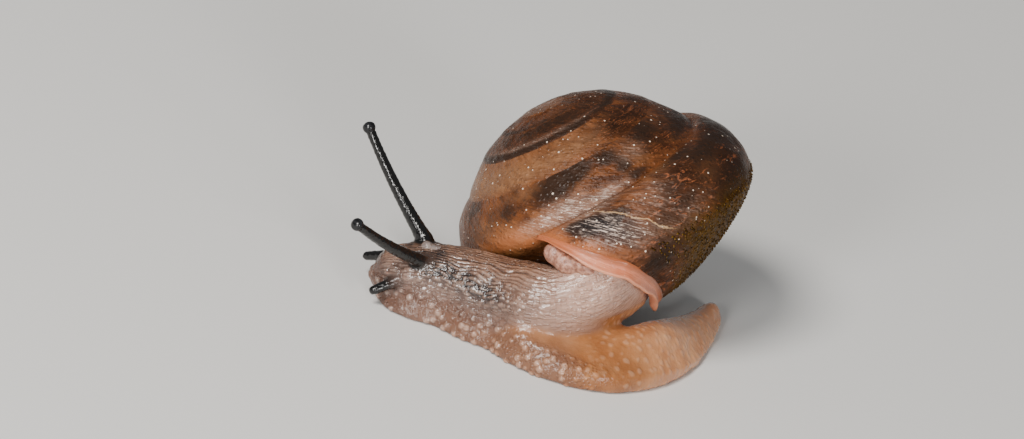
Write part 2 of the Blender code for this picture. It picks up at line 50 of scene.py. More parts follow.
# Shell, in its own frame: Z runs along the axis to the apex, "turn" counts whorls back from the lip.
SUTURE_RADIUS = 7.13
WHORL_STEP = 1.5
SPIRE_HEIGHT = 4.67
DOME_POWER = 2.35
LAST_DROP = 0.4
LAST_DROP_TURN = 0.25
CORE_TURN = -3.5
FIRST_TURN = -5.0
LIP_BULGE = 0.5
LIP_PERIPHERY_DROP = 2.82
LIP_BASE_DROP = 6.76
BASE_RISE = 3.4
BASE_RADIUS = 0.33
UMBILICUS_RADIUS = 0.11
UMBILICUS_DEPTH = 0.18
BASE_SHARE = 0.75
SPIRE_SHOULDER = (0.71, -0.62)
SPIRE_SIDE = (-0.18, 0.32)
LIP_SHOULDER = (0.53, 0.05)
LIP_SIDE = (0.2, 0.44)
LIP_AZIMUTH = 235.7
LEAN_PERIPHERY = 30.0
LEAN_UMBILICUS = 58.2
APEX_ELEVATION = 49.5
APEX_HEADING = 169.4
SHELL_SPIN = 208.5
SHELL_AXIS_POINT = (-1.60, 11.77, 6.43)
TURN_STEPS = 264
UPPER_STEPS = 28
LOWER_STEPS = 48
LIP_PROFILE = ((-0.03, -0.12), (-0.03, 0.04), (0.02, 0.18), (0.04, 0.32), (0.02, 0.46),
               (-0.05, 0.60), (-0.12, 0.70), (-0.10, 0.79), (0.02, 0.84), (0.22, 0.82),
               (0.44, 0.72), (0.56, 0.52), (0.60, 0.22), (0.58, -0.08), (0.30, -0.20))
LIP_THINNEST = 0.30
LIP_DIP = 0.30
LIP_DIP_PLACE = 0.78

# Lobes of the mantle in the mouth: how far across, forwards and outwards, and their half sizes.
COLLAR_LOBES = ((-2.66, 2.52, 1.10, (0.80, 0.50, 0.60)), (-2.90, 1.84, 1.20, (0.95, 0.52, 0.60)),
                (-3.10, 1.05, 0.97, (0.85, 0.50, 0.46)))
COLLAR_GRAIN = 0.085

# Shell surface: how far it is inset, and the heights of its ribs, folds, dents and grains.
SHELL_INSET = 0.035
WELD_DISTANCE = 0.004
RIB_HEIGHT = 0.022
FOLD_HEIGHT = 0.03
DENT_HEIGHT = 0.04
GRAIN_HEIGHT = 0.05

# Loose scales: growth lines between them, rows across, and the size and shape of one.
SCALE_STEP = 2
SCALE_LAST_STEP = 262
SCALE_ROWS = 26
SCALE_SPACING = 0.030
SCALE_SIZE = 0.17
SCALE_BASE_RADIUS = 0.5
SCALE_TIP_RADIUS = 0.16
SCALE_ROOT = 0.22

# Foot: centre line, half width and height of its side, from snout to tail tip.
FOOT_STATIONS = (
    (-10.72, 5.62, 0.58, 0.28, 0.00), (-10.35, 5.51, 1.25, 0.36, 0.00),
    (-9.80, 5.43, 1.95, 0.44, 0.00), (-8.60, 5.31, 2.30, 0.50, 0.00),
    (-7.00, 5.13, 2.13, 0.56, 0.00), (-5.20, 4.59, 2.36, 0.66, 0.00),
    (-3.40, 4.23, 2.42, 0.80, 0.00), (-1.40, 3.08, 2.59, 1.00, 0.00),
    (0.80, 3.05, 2.70, 1.20, 0.60), (2.60, 4.15, 2.35, 1.20, 1.25),
    (3.90, 6.13, 2.20, 0.95, 1.55), (5.00, 9.01, 1.95, 0.65, 1.15),
    (6.05, 12.02, 1.30, 0.45, 0.70), (6.52, 13.70, 0.90, 0.44, 0.62),
    (6.68, 14.60, 0.72, 0.42, 0.56), (6.74, 15.25, 0.50, 0.34, 0.36))

# Foot outline, as shares of its half width: its side, with its height as shares of the
# station's height and of the skirt above it, its sole, and its back with the fall of its dome.
FOOT_SIDE = ((0.94, 0.0, 0.0), (1.00, 0.18, 0.0), (0.995, 0.5, 0.0), (0.96, 0.78, 0.0),
             (0.90, 1.0, 0.05), (0.85, 1.0, 0.30), (0.81, 1.0, 0.62), (0.76, 1.0, 1.0))
FOOT_SOLE = (-0.7, -0.35, 0.0, 0.35, 0.7)
FOOT_BACK = (0.55, 0.28, 0.0, -0.28, -0.55)
BACK_FALL = 0.60

# Head and neck: centre, half width and half height, from snout to shell.
NECK_STATIONS = (
    (-11.28, 5.83, 1.14, 0.72, 0.66), (-10.98, 5.82, 1.26, 1.10, 0.98),
    (-10.40, 5.79, 1.46, 1.48, 1.30), (-9.40, 5.74, 1.76, 1.82, 1.39),
    (-8.30, 5.64, 1.95, 1.90, 1.52), (-7.00, 5.39, 2.05, 1.85, 1.76),
    (-5.40, 4.96, 2.15, 1.90, 1.95), (-3.80, 4.52, 2.35, 1.95, 2.05),
    (-2.40, 4.02, 2.60, 2.05, 2.20))
MOUTH_PLACE = (-11.05, 5.85, 0.98)
LIP_LOBE_SIZE = (0.42, 0.38, 0.34)
LIP_LOBE_APART = 0.34
NECK_SIDES = 40
SKIRT_HEIGHT = 0.95
HEAD_MIDDLE = (-9.0, 5.7, 1.9)

# The bend of the stalk up into the shell, and the voxels and hollows of the soft body.
STALK_RISE = 0.12
STALK_BEND = (0.45, 0.75)
CORE_GRAIN = 0.16
SKIN_GRAIN = 0.062
CREASE_DEPTH = 0.002

# The two large grey warts on the head: centre and radius.
HEAD_WARTS = ((-8.80, 5.63, 3.31, 0.28), (-8.34, 5.53, 3.29, 0.26))

# Warts: length and width of a long one, distance between round ones, and their heights.
FLANK_RADIUS = 1.9
WART_LENGTH = 0.52
WART_WIDTH = 0.23
BEAD_SPACING = 0.48
SPOT_SPACING = 0.46
TUFT_SPACING = 0.2
ROW_HEIGHT = 0.09
BEAD_HEIGHT = 0.12
SPOT_HEIGHT = 0.035
TUFT_HEIGHT = 0.02

# How the warts are scattered: one to a cell, moved by a hash of the cell's number.
SEED_JITTER = 0.8
NEIGHBOURS = (-1, 0, 1)
HASH_SCALE = 43758.5453
HASH_STEPS = np.array([[12.9898, 78.233, 37.719], [39.346, 11.135, 83.155],
                       [73.156, 52.235, 9.151]])
POINTS_AT_ONCE = 4000
FAR = 9.0
SOLE_LINE = 0.02

# Upper tentacles: where the axis leaves the head and where it ends.
OCULAR_LEFT = ((-8.42, 4.79, 2.71), (-12.87, 1.66, 5.23))
OCULAR_RIGHT = ((-9.04, 6.30, 3.38), (-13.72, 8.98, 7.84))
OCULAR_RADII = (0.42, 0.35, 0.31, 0.27, 0.25)
OCULAR_SAG = 0.18
ROOT_FLARE = 0.16
FLARE_LENGTH = 0.5
OCULAR_STEPS = 22
LABIAL_STEPS = 8
TUBE_SIDES = 18
TUBE_SAMPLES = 40

# A tentacle's root rings, as distance out and width, and the knob of the eye in eye radii.
ROOT_RINGS = ((-1.2, 0.9), (-0.6, 1.25), (0.0, 1.3), (0.45, 1.05), (0.8, 0.8))
EYE_RADIUS = 0.345
EYE_LENGTH = 1.7
EYE_SEAT = 1.55
EYE_SIDES = 28
EYE_PROFILE = ((-0.25, 0.60), (0.0, 0.66), (0.25, 0.82), (0.5, 0.95), (0.8, 1.0), (1.1, 0.97),
               (1.35, 0.84), (1.53, 0.62), (1.65, 0.36), (1.70, 0.12))

# Lower tentacles, with the rings that round off their ends.
LABIAL_LEFT = ((-9.78, 4.30, 1.60), (-11.10, 3.56, 0.80))
LABIAL_RIGHT = ((-10.35, 6.50, 1.97), (-11.97, 7.30, 1.08))
LABIAL_RADII = (0.29, 0.27, 0.24)
LABIAL_TIP = ((0.10, 0.93), (0.19, 0.72), (0.25, 0.35))

# Camera: a long lens over the snail's left side, rolled so that the crawl runs downhill.
VIEW_ELEVATION = 23.0
VIEW_ROLL = 16.0
VIEW_CENTRE = (-4.906, 7.682, 5.302)
VIEW_DISTANCE = 700.0
PIXELS_PER_MM = 18.87
IMAGE_WIDTH = 1024
SENSOR_WIDTH = 36.0
NEAR_CLIP = 0.01
FAR_CLIP = 20.0

# Lights: name, place in metres, size, power and colour.
LIGHTS = (("key", (-0.16, -0.26, 0.32), 0.13, 1.9, (1.0, 0.97, 0.93)),
          ("flash", (-0.12, -0.36, 0.13), 0.085, 0.9, (1.0, 0.98, 0.96)),
          ("fill", (0.24, -0.36, 0.12), 0.12, 0.9, (1.0, 0.98, 0.96)))
BACKDROP_COLOUR = (0.93, 0.96, 1.0, 1.0)
BACKDROP_STRENGTH = 0.20


# Small tools

def smooth(share):
    share = min(max(share, 0.0), 1.0)
    return share * share * (3 - 2 * share)


def ramp(values, low, high):
    """Smooth rise from 0 at low to 1 at high, for arrays."""
    share = np.clip((values - low) / (high - low), 0.0, 1.0)
    return share * share * (3 - 2 * share)


def bezier(p0, p1, p2, p3, share):
    rest = 1 - share
    return (p0 * rest ** 3 + p1 * 3 * rest ** 2 * share
            + p2 * 3 * rest * share ** 2 + p3 * share ** 3)


def hermite(start, leave, end, arrive, share):
    """A cubic between two values with given slopes, for numbers and vectors."""
    return ((2 * share ** 3 - 3 * share ** 2 + 1) * start
            + (share ** 3 - 2 * share ** 2 + share) * leave
            + (3 * share ** 2 - 2 * share ** 3) * end
            + (share ** 3 - share ** 2) * arrive)


def followers(verts, new):
    """The new vertex that an extrusion drew out of each old one."""
    return [next(edge.other_vert(vert) for edge in vert.link_edges
                 if edge.other_vert(vert) in new) for vert in verts]


def loft(rings):
    """A closed body through rings of equal count, by repeated extrusion of its end."""
    bm = bmesh.new()
    bmesh.ops.create_circle(bm, cap_ends=True, segments=len(rings[0]), radius=1.0)
    bm.faces.ensure_lookup_table()
    end = bm.faces[0]
    verts = [loop.vert for loop in end.loops]
    for vert, place in zip(verts, rings[0]):
        vert.co = place
    for number, ring in enumerate(rings[1:]):
        made = bmesh.ops.extrude_face_region(bm, geom=[end])["geom"]
        if number:
            bmesh.ops.delete(bm, geom=[end], context="FACES_ONLY")
        end = next(item for item in made if isinstance(item, bmesh.types.BMFace))
        verts = followers(verts, set(end.verts))
        for vert, place in zip(verts, ring):
            vert.co = place
    return bm


def mesh_object(name, bm):
    """A linked object from a bmesh, still in millimetres."""
    mesh = bpy.data.meshes.new(name)
    bm.to_mesh(mesh)
    bm.free()
    made = bpy.data.objects.new(name, mesh)
    bpy.context.scene.collection.objects.link(made)
    return made


def finish_piece(piece, material, slot, *nodes):
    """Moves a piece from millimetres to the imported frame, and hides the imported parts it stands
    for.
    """
    piece.data.transform(Matrix.Scale(MM, 4) @ Matrix.Translation(CENTRING))
    piece.data.materials.clear()
    piece.data.materials.append(material)
    piece.data.shade_smooth()
    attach(piece, "root")
    if nodes:
        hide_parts(*nodes)
    return piece


# Materials

class Value:
    """A shader output that can be added, multiplied and fed to other nodes."""

    def __init__(self, socket):
        self.socket = socket
        self.tree = socket.id_data

    def combine(self, operation, *others):
        return add_node(self.tree, "ShaderNodeMath", dict(enumerate((self, *others))),
                        operation=operation)

    def __add__(self, other):
        return self.combine("ADD", other)

    def __mul__(self, other):
        return self.combine("MULTIPLY", other)

    def __rsub__(self, other):
        return self.combine("MULTIPLY_ADD", -1.0, other)

    def __abs__(self):
        return self.combine("ABSOLUTE")


def feed(made, inputs):
    """Sets a node's inputs from plain values and from the outputs of other nodes."""
    for key, value in inputs.items():
        if isinstance(value, Value):
            made.id_data.links.new(value.socket, made.inputs[key])
        else:
            made.inputs[key].default_value = value


def add_node(tree, kind, inputs=None, output=0, **settings):
    """Adds a shader node, and gives one of its outputs."""
    made = tree.nodes.new(kind)
    for key, value in settings.items():
        setattr(made, key, value)
    feed(made, inputs or {})
    return Value(made.outputs[output])


def outputs_of(value):
    """All outputs of the node that a value comes from."""
    return [Value(socket) for socket in value.socket.node.outputs]


def new_material(name):
    """A new material, its shader, and the place of each point in the object."""
    made = bpy.data.materials.new(name)
    made.use_nodes = True
    place = add_node(made.node_tree, "ShaderNodeTexCoord", output="Object")
    return made, made.node_tree.nodes["Principled BSDF"], place


def channels(tree, name):
    """Red, green, blue and alpha of a colour attribute."""
    colour = add_node(tree, "ShaderNodeAttribute", output="Color", attribute_name=name)
    alpha = Value(colour.socket.node.outputs["Alpha"])
    return (*outputs_of(add_node(tree, "ShaderNodeSeparateColor", {"Color": colour})), alpha)


def mix(share, first, second):
    colours = [value if isinstance(value, Value) else (*value, 1.0) for value in (first, second)]
    return add_node(share.tree, "ShaderNodeMix", {0: share, 6: colours[0], 7: colours[1]}, 2,
                    data_type="RGBA")


def largest(first, second):
    return first.combine("MAXIMUM", second)


def band(value, low, high, to_low=0.0, to_high=1.0):
    """Maps a value between two limits smoothly to another pair."""
    return add_node(value.tree, "ShaderNodeMapRange",
                    {"Value": value, "From Min": low, "From Max": high,
                     "To Min": to_low, "To Max": to_high}, interpolation_type="SMOOTHSTEP")


def stretched(vector, size):
    return add_node(vector.tree, "ShaderNodeMapping", {"Vector": vector, "Scale": (*size, 1.0)})


def noise_at(vector, scale, detail, roughness=0.6, distortion=0.0):
    return add_node(vector.tree, "ShaderNodeTexNoise",
                    {"Vector": vector, "Scale": scale, "Detail": detail, "Roughness": roughness,
                     "Distortion": distortion})


def streaks(vector, size, detail, roughness=0.6, distortion=0.0):
    """Noise drawn out along one way of a flat map."""
    return noise_at(stretched(vector, size), 1.0, detail, roughness, distortion)


def cells_at(vector, scale, **settings):
    return add_node(vector.tree, "ShaderNodeTexVoronoi", {"Vector": vector, "Scale": scale},
                    **settings)


def bump(height, distance, strength, normal=None):
    inputs = {"Height": height, "Distance": distance, "Strength": strength}
    if normal is not None:
        inputs["Normal"] = normal
    return add_node(height.tree, "ShaderNodeBump", inputs)


def shell_material():
    """Worn brown horny skin of the shell over growth lines, blotched, with grains at its edge, and
    painted shade, sheen and glints.
    """
    made, shader, place = new_material("shell_periostracum")
    tree = place.tree
    growth = add_node(tree, "ShaderNodeUVMap", uv_map="growth_lines")
    dark, tan, worn_and_sheen, rough_edge = channels(tree, "shell_marks")
    shade, glow, fan, moss = channels(tree, "shell_tones")

    broad = noise_at(place, 420.0, 5.0, 0.6, 0.6)
    fine = noise_at(place, 2600.0, 6.0, 0.65)
    bands = streaks(growth, (46.0, 2.2), 5.0, 0.6, 0.3)
    hair = streaks(growth, (170.0, 4.0), 4.0, 0.7, 0.6)
    comb = streaks(growth, (330.0, 6.0), 3.0, 0.6, 1.4)
    flakes = streaks(growth, (62.0, 13.0), 6.0, 0.72, 1.5)

    brown = mix(band(broad, 0.34, 0.66), (0.045, 0.014, 0.0048), (0.17, 0.052, 0.015))
    streaked = mix(band(bands, 0.42, 0.68, 0.0, 0.6), brown, (0.28, 0.098, 0.032))
    grown = mix(band(hair, 0.46, 0.62, 0.0, 0.6), streaked, (0.03, 0.011, 0.0045))
    pale = mix(band(fine, 0.35, 0.7), (0.185, 0.080, 0.033), (0.27, 0.128, 0.060))
    clouded = mix(band(bands, 0.60, 0.36, 0.0, 0.45), pale, (0.105, 0.044, 0.020))
    fawn = mix(tan, grown, clouded)
    warm = mix(glow * 0.85, fawn, (0.44, 0.135, 0.045))
    # Painted shade: darker colour where the shade patches lie, and on the dark rough horn.
    deep = shade * band(broad, 0.40, 0.70, 0.92, 0.55)
    shaded = mix(deep, warm, (0.020, 0.0090, 0.0050))
    rust = band(flakes, 0.55, 0.63) * band(shade, 0.1, 0.6)
    rusted = mix(rust * 0.75, shaded, (0.30, 0.092, 0.036))
    blotch = band(dark + broad * 1.5 + bands * 0.9 + fine * 0.9, 1.80, 2.50)
    blotched = mix(blotch * 0.94, rusted, (0.023, 0.0118, 0.0070))

    # Worn places, partly a painted sheen, and the fan behind the lip, with silver strands that are
    # partly painted glints
    bare_and_sheen = largest(worn_and_sheen, fan)
    slate = mix(fan * 0.85, blotched, (0.017, 0.0145, 0.0150))
    sheen = mix(worn_and_sheen * 0.36, slate, (0.40, 0.245, 0.180))
    strands = band(comb, 0.50, 0.60) * band(flakes, 0.40, 0.56, 0.15, 1.0)
    silver = mix(bare_and_sheen * strands * 0.85, sheen, (0.70, 0.54, 0.45))

    # A pale thread along the growth line where the snail once rested
    turn, across, _ = outputs_of(add_node(tree, "ShaderNodeSeparateXYZ", {"Vector": growth}))
    from_rest = abs(turn * TURN_STEPS + REST_STEP + broad * 4.0 + fine * 3.0)
    shown = band(from_rest, 0.42, 0.12) * band(across, 0.98, 0.82) * band(across, 0.10, 0.24)
    thread = mix(shown * 0.8, silver, (0.46, 0.29, 0.155))

    # Painted glints: pale dots of uneven size and spread standing in for wet highlights, and
    # moss-brown horn at the rough edge
    gap, tint = outputs_of(cells_at(place, 3800.0))[:2]
    chance, size, _ = outputs_of(add_node(tree, "ShaderNodeSeparateColor", {"Color": tint}))
    often = chance + broad * 0.9 + worn_and_sheen * 0.22
    painted_glints = band(gap + size * -0.16, 0.11, 0.03) * band(often, 1.20, 1.26)
    glint_painted = mix(painted_glints * 0.9, thread, (0.80, 0.66, 0.54))
    mossy = mix(band(fine, 0.34, 0.70), (0.030, 0.0135, 0.0009), (0.105, 0.050, 0.0042))

    ridges = bump(hair, 0.00007, 0.6)
    folds = bump(bands, 0.00018, 0.6, ridges)
    combed = bump(comb * bare_and_sheen, 0.00008, 0.8, folds)
    horny = cells_at(stretched(growth, (64.0, 9.0)), 1.0, feature="SMOOTH_F1")
    feed(horny.socket.node, {"Smoothness": 0.4})
    scaly = bump(horny * rough_edge, 0.00022, 0.9, combed)
    feed(shader, {"Base Color": mix(moss * 0.92, glint_painted, mossy),
                  "Normal": bump(band(gap, 0.5, 0.05), 0.00007, 0.6, scaly),
                  "Roughness": rough_edge * 0.2 + band(fine, 0.3, 0.7, 0.22, 0.44),
                  "Specular IOR Level": largest(rough_edge, shade) * -0.14 + 0.22})
    return made


def scales_material():
    """Thin yellow-brown horn of the loose scales."""
    made, shader, place = new_material("scale_horn")
    tone = noise_at(place, 1500.0, 4.0, 0.7)
    horn = mix(band(tone, 0.38, 0.62), (0.045, 0.020, 0.002), (0.16, 0.082, 0.012))
    feed(shader, {"Base Color": horn, "Roughness": 0.35, "Specular IOR Level": 0.25})
    return made


def lip_material():
    """Smooth, faintly lined porcelain of the turned-out lip."""
    made, shader, place = new_material("lip_porcelain")
    tree = place.tree
    depth = add_node(tree, "ShaderNodeAttribute", output="Fac", attribute_name="lip_depth")
    run = add_node(tree, "ShaderNodeAttribute", output="Fac", attribute_name="lip_run")
    strip = add_node(tree, "ShaderNodeCombineXYZ", {"X": run, "Y": depth})
    tone = noise_at(place, 600.0, 4.0)
    dots = cells_at(place, 4200.0)
    lines = streaks(strip, (9.0, 15.0), 3.0, 0.6, 0.4)

    warm = mix(band(tone, 0.35, 0.65), (0.52, 0.150, 0.068), (0.64, 0.225, 0.118))
    flecked = mix(band(dots, 0.16, 0.06, 0.0, 0.5), warm, (0.85, 0.55, 0.38))
    lined = mix(band(lines, 0.52, 0.38, 0.0, 0.5), flecked, (0.36, 0.10, 0.045))
    shaded = mix(band(depth, 0.34, 0.02, 0.0, 0.85), lined, (0.27, 0.075, 0.026))
    rooted = mix(band(run, 0.30, 0.12, 0.0, 0.7), shaded, (0.46, 0.135, 0.050))
    rim = band(depth, 0.62, 0.78, 0.0, 0.6) * band(run, 0.10, 0.32)

    grooved = bump(lines, 0.00005, 0.6, bump(tone, 0.0001, 0.5))
    grain = noise_at(place, 4200.0, 4.0, 0.65)
    feed(shader, {"Base Color": mix(rim, rooted, (0.76, 0.36, 0.22)),
                  "Normal": bump(grain, 0.00004, 0.6, grooved),
                  "Roughness": 0.28, "Specular IOR Level": 0.4, "Subsurface Weight": 0.15,
                  "Subsurface Radius": (0.0005, 0.0002, 0.00012), "Subsurface Scale": 1.0})
    return made


def collar_material():
    """Wet granular pink of the mantle's edge."""
    made, shader, place = new_material("mantle_pink")
    grain = noise_at(place, 5200.0, 3.0)
    cloud = noise_at(place, 900.0, 3.0)
    pink = mix(band(grain, 0.35, 0.65), (0.22, 0.092, 0.058), (0.47, 0.235, 0.160))
    shaded = mix(band(cloud, 0.52, 0.34, 0.0, 0.6), pink, (0.30, 0.15, 0.11))
    feed(shader, {"Base Color": shaded, "Normal": bump(grain, 0.00008, 0.7), "Roughness": 0.3,
                  "Subsurface Weight": 0.3, "Subsurface Radius": (0.0006, 0.0003, 0.0002),
                  "Subsurface Scale": 1.0})
    return made


def skin_material():
    """Wet skin: pale warts, their tops partly a painted highlight, over brown-grey furrows with
    painted shade, rusty foot and tail, the tail's end partly painted light, black feelers.
    """
    made, shader, place = new_material("wet_skin")
    tree = place.tree
    flank = add_node(tree, "ShaderNodeUVMap", uv_map="flank")
    dark, warm, black, sleek = channels(tree, "skin_tones")
    rim, neck, tail, knobs = channels(tree, "skin_zones")
    rows, beads, spots, pale_and_lit_end = channels(tree, "skin_warts")
    cloud = noise_at(place, 500.0, 4.0)
    fine = noise_at(place, 3000.0, 4.0)
    grain = noise_at(place, 9000.0, 3.0)
    lines = streaks(flank, (0.5, 16.0), 3.0)
    not_black = 1.0 - black

    flesh = mix(band(cloud, 0.35, 0.65), (0.140, 0.084, 0.066), (0.205, 0.126, 0.098))
    rusty = mix(band(cloud, 0.3, 0.7), (0.26, 0.092, 0.028), (0.40, 0.170, 0.064))
    # Pale tail end: its own paler orange, brightened further as painted light against the shell's
    # shadow on it.
    pale_and_lit_tail = mix(band(cloud, 0.3, 0.7), (0.52, 0.215, 0.088), (0.68, 0.335, 0.160))
    body = mix(pale_and_lit_end, mix(warm, flesh, rusty), pale_and_lit_tail)
    # Painted shade: darker colour in the furrows between the wart rows.
    furrow_shade = band(rows, 0.35, 0.0) * neck * (1.0 - sleek)
    furrow_shaded = mix(furrow_shade * 0.38, body, (0.075, 0.032, 0.021))
    shadow = mix(dark * band(fine, 0.25, 0.55, 0.7, 1.0), furrow_shaded, (0.012, 0.0075, 0.007))
    # Pale wart and bead tops: partly their own colour, partly a painted highlight.
    pale_and_lit_wart = mix(warm, (0.40, 0.26, 0.20), (0.50, 0.27, 0.15))
    topped = mix(band(rows, 0.25, 0.95, 0.0, 0.42), shadow, pale_and_lit_wart)
    beaded = mix(band(beads, 0.2, 0.75, 0.0, 0.6), topped, pale_and_lit_wart)
    spotted = mix(band(spots, 0.05, 0.9, 0.0, 0.36), beaded, (0.56, 0.33, 0.20))
    # Painted shade in the gaps between the rim's beads.
    bead_gap_shaded = mix(rim * band(beads, 0.22, 0.0, 0.0, 0.5), spotted, (0.115, 0.052, 0.032))
    pale = mix(sleek * 0.80, bead_gap_shaded, (0.56, 0.335, 0.240))
    lined = mix(sleek * band(lines, 0.56, 0.42, 0.0, 0.45), pale, (0.24, 0.145, 0.115))
    knobbed = mix(knobs, lined, (0.250, 0.200, 0.180))

    nets = cells_at(stretched(flank, (5.5, 9.0)), 1.0)
    webbed = bump(band(nets, 0.55, 0.15) * neck, 0.00005, 0.9)
    pebbled = bump(band(cells_at(place, 5200.0), 0.55, 0.2) * rim, 0.00005, 0.8, webbed)
    creased = bump(lines * sleek, 0.00004, 0.4, pebbled)
    between = rim * band(beads, 0.5, 0.1)
    gloss = not_black * (between * -0.8 + 1.0)
    matt = largest(largest(sleek * 0.6, tail), largest(between, warm))
    feed(shader, {"Base Color": mix(black, knobbed, (0.005, 0.0048, 0.0045)),
                  "Normal": bump(fine + grain * 0.4, 0.00005, 0.8, creased),
                  "Roughness": band(fine, 0.3, 0.7, 0.10, 0.24),
                  "Specular IOR Level": gloss * 0.24 + 0.28,
                  "Subsurface Weight": not_black * 0.15,
                  "Subsurface Radius": (0.0004, 0.00018, 0.0001), "Subsurface Scale": 1.0,
                  "Coat Weight": matt * -0.55 + 0.6, "Coat Roughness": 0.06})
    return made


def eye_material():
    """Dark glassy bulb of the eye, faintly mottled."""
    made, shader, place = new_material("eye_bulb")
    grain = noise_at(place, 3500.0, 3.0)
    glassy = mix(band(grain, 0.35, 0.7), (0.004, 0.004, 0.0045), (0.018, 0.018, 0.02))
    feed(shader, {"Base Color": glassy, "Normal": bump(grain, 0.00003, 0.3), "Roughness": 0.2,
                  "Specular IOR Level": 0.4})
    return made


# Shell

def suture_radius(turn):
    if turn >= CORE_TURN:
        return SUTURE_RADIUS + WHORL_STEP * turn
    core = SUTURE_RADIUS + WHORL_STEP * CORE_TURN
    return core * math.exp((turn - CORE_TURN) * WHORL_STEP / core)


def suture_height(turn):
    dome = SPIRE_HEIGHT * (1 - (suture_radius(turn) / SUTURE_RADIUS) ** DOME_POWER)
    return dome + LAST_DROP * (1 - math.exp(min(turn, 0.0) / LAST_DROP_TURN))


def periphery(turn):
    if turn <= -1:
        return Vector((suture_radius(turn + 1), suture_height(turn + 1)))
    radius = suture_radius(turn + 1) + LIP_BULGE * smooth((turn + 0.82) / 0.6)
    height = -LIP_PERIPHERY_DROP * (1 - max(-turn, 0.0) ** 1.5)
    return Vector((radius, height))


def upper_arc(turn, share):
    """Whorl outline from the suture to the periphery, as (radius, height)."""
    start = Vector((suture_radius(turn), suture_height(turn)))
    end = periphery(turn)
    wide, tall = end.x - start.x, start.y - end.y
    full = smooth(turn + 1.4)
    shoulder = Vector(SPIRE_SHOULDER).lerp(Vector(LIP_SHOULDER), full)
    side = Vector(SPIRE_SIDE).lerp(Vector(LIP_SIDE), full)
    return bezier(start, start + Vector((shoulder.x * wide, shoulder.y * tall)),
                  end + Vector((side.x * wide, side.y * tall)), end, share)


def lower_arc(turn, share):
    """Outline of the body whorl from the periphery to the umbilicus."""
    side = periphery(turn)
    base_height = -LIP_BASE_DROP + BASE_RISE * max(-turn, 0.0) ** 1.6
    base = Vector((BASE_RADIUS * side.x, base_height))
    hole = Vector((UMBILICUS_RADIUS * side.x, base_height + UMBILICUS_DEPTH * side.x))
    if share < BASE_SHARE:
        return bezier(side, side + Vector((0.0, 0.32 * (base_height - side.y))),
                      base + Vector((0.18 * (side.x - base.x), 0.0)), base, share / BASE_SHARE)
    deep = hole.y - base.y
    return bezier(base, base - Vector((0.6 * (base.x - hole.x), 0.0)),
                  hole - Vector((0.0, 0.6 * deep)), hole, (share - BASE_SHARE) / (1 - BASE_SHARE))


SHELL_MATRIX = (Matrix.Translation(SHELL_AXIS_POINT)
                @ Matrix.Rotation(math.radians(APEX_HEADING), 4, "Z")
                @ Matrix.Rotation(math.radians(90 - APEX_ELEVATION), 4, "Y")
                @ Matrix.Rotation(math.radians(SHELL_SPIN), 4, "Z"))


def whorl_turn(step, arc, share):
    if arc == "upper":
        lean = LEAN_PERIPHERY * share
    else:
        lean = LEAN_PERIPHERY + (LEAN_UMBILICUS - LEAN_PERIPHERY) * share
    return step / TURN_STEPS - lean / 360


def shell_point(step, arc, share):
    """A point on growth line number step, counted back from the lip at 0."""
    turn = whorl_turn(step, arc, share)
    azimuth = math.radians(LIP_AZIMUTH - 360 * turn)
    outline = upper_arc(turn, share) if arc == "upper" else lower_arc(turn, share)
    return SHELL_MATRIX @ Vector((outline.x * math.cos(azimuth), outline.x * math.sin(azimuth),
                                  outline.y))


def growth_line(step, arc, count):
    return [shell_point(step, arc, index / count) for index in range(count + 1)]


def parietal_step():
    """The growth line whose periphery meets the lip's insertion."""
    return round(LEAN_PERIPHERY / 360 * TURN_STEPS) - TURN_STEPS


def mouth_loop(step=0, upper=12, lower=24):
    """The edge of the shell's mouth, or of its bore a few steps further in."""
    lip = growth_line(step, "upper", upper) + growth_line(step, "lower", lower)[1:]
    wall = growth_line(parietal_step() + step, "lower", lower)
    return lip, wall[::-1][:-1]


def mouth_frame(step=0):
    """Centre of the mouth, and the directions outwards, to the far side and forwards."""
    lip, wall = mouth_loop(step)
    points = lip + wall
    centre = sum(points, Vector()) / len(points)
    normal = Vector()
    for here, there in zip(points, points[1:] + points[:1]):
        normal += (here - centre).cross(there - centre)
    normal.normalize()
    if normal.z > 0:
        normal.negate()
    forward = Vector((-1, 0, 0))
    forward = (forward - normal * forward.dot(normal)).normalized()
    far = forward.cross(normal)
    if far.y < 0:
        far.negate()
    return centre, normal, far, forward


def mouth_ring(inset, shift, front_inset=0.0, step=0, sides=NECK_SIDES):
    """A ring inside the mouth, inset from its edge, most in front, and shifted outwards."""
    centre, normal, far, forward = mouth_frame(step)
    lip, wall = mouth_loop(step)
    flat = [Vector(((point - centre).dot(far), (point - centre).dot(forward)))
            for point in lip + wall]
    ring = []
    for index in range(sides):
        angle = 2 * math.pi * index / sides
        ray = Vector((math.cos(angle), math.sin(angle)))
        best = 0.0
        for here, there in zip(flat, flat[1:] + flat[:1]):
            edge = there - here
            cross = ray.x * edge.y - ray.y * edge.x
            if abs(cross) < 1e-9:
                continue
            reach = (here.x * edge.y - here.y * edge.x) / cross
            share = (here.x * ray.y - here.y * ray.x) / cross
            if reach > 0 and 0 <= share <= 1:
                best = max(best, reach)
        reach = best - inset - front_inset * max(math.sin(angle), 0.0) ** 2
        ring.append(centre + far * math.cos(angle) * reach
                    + forward * math.sin(angle) * reach + normal * shift)
    return ring


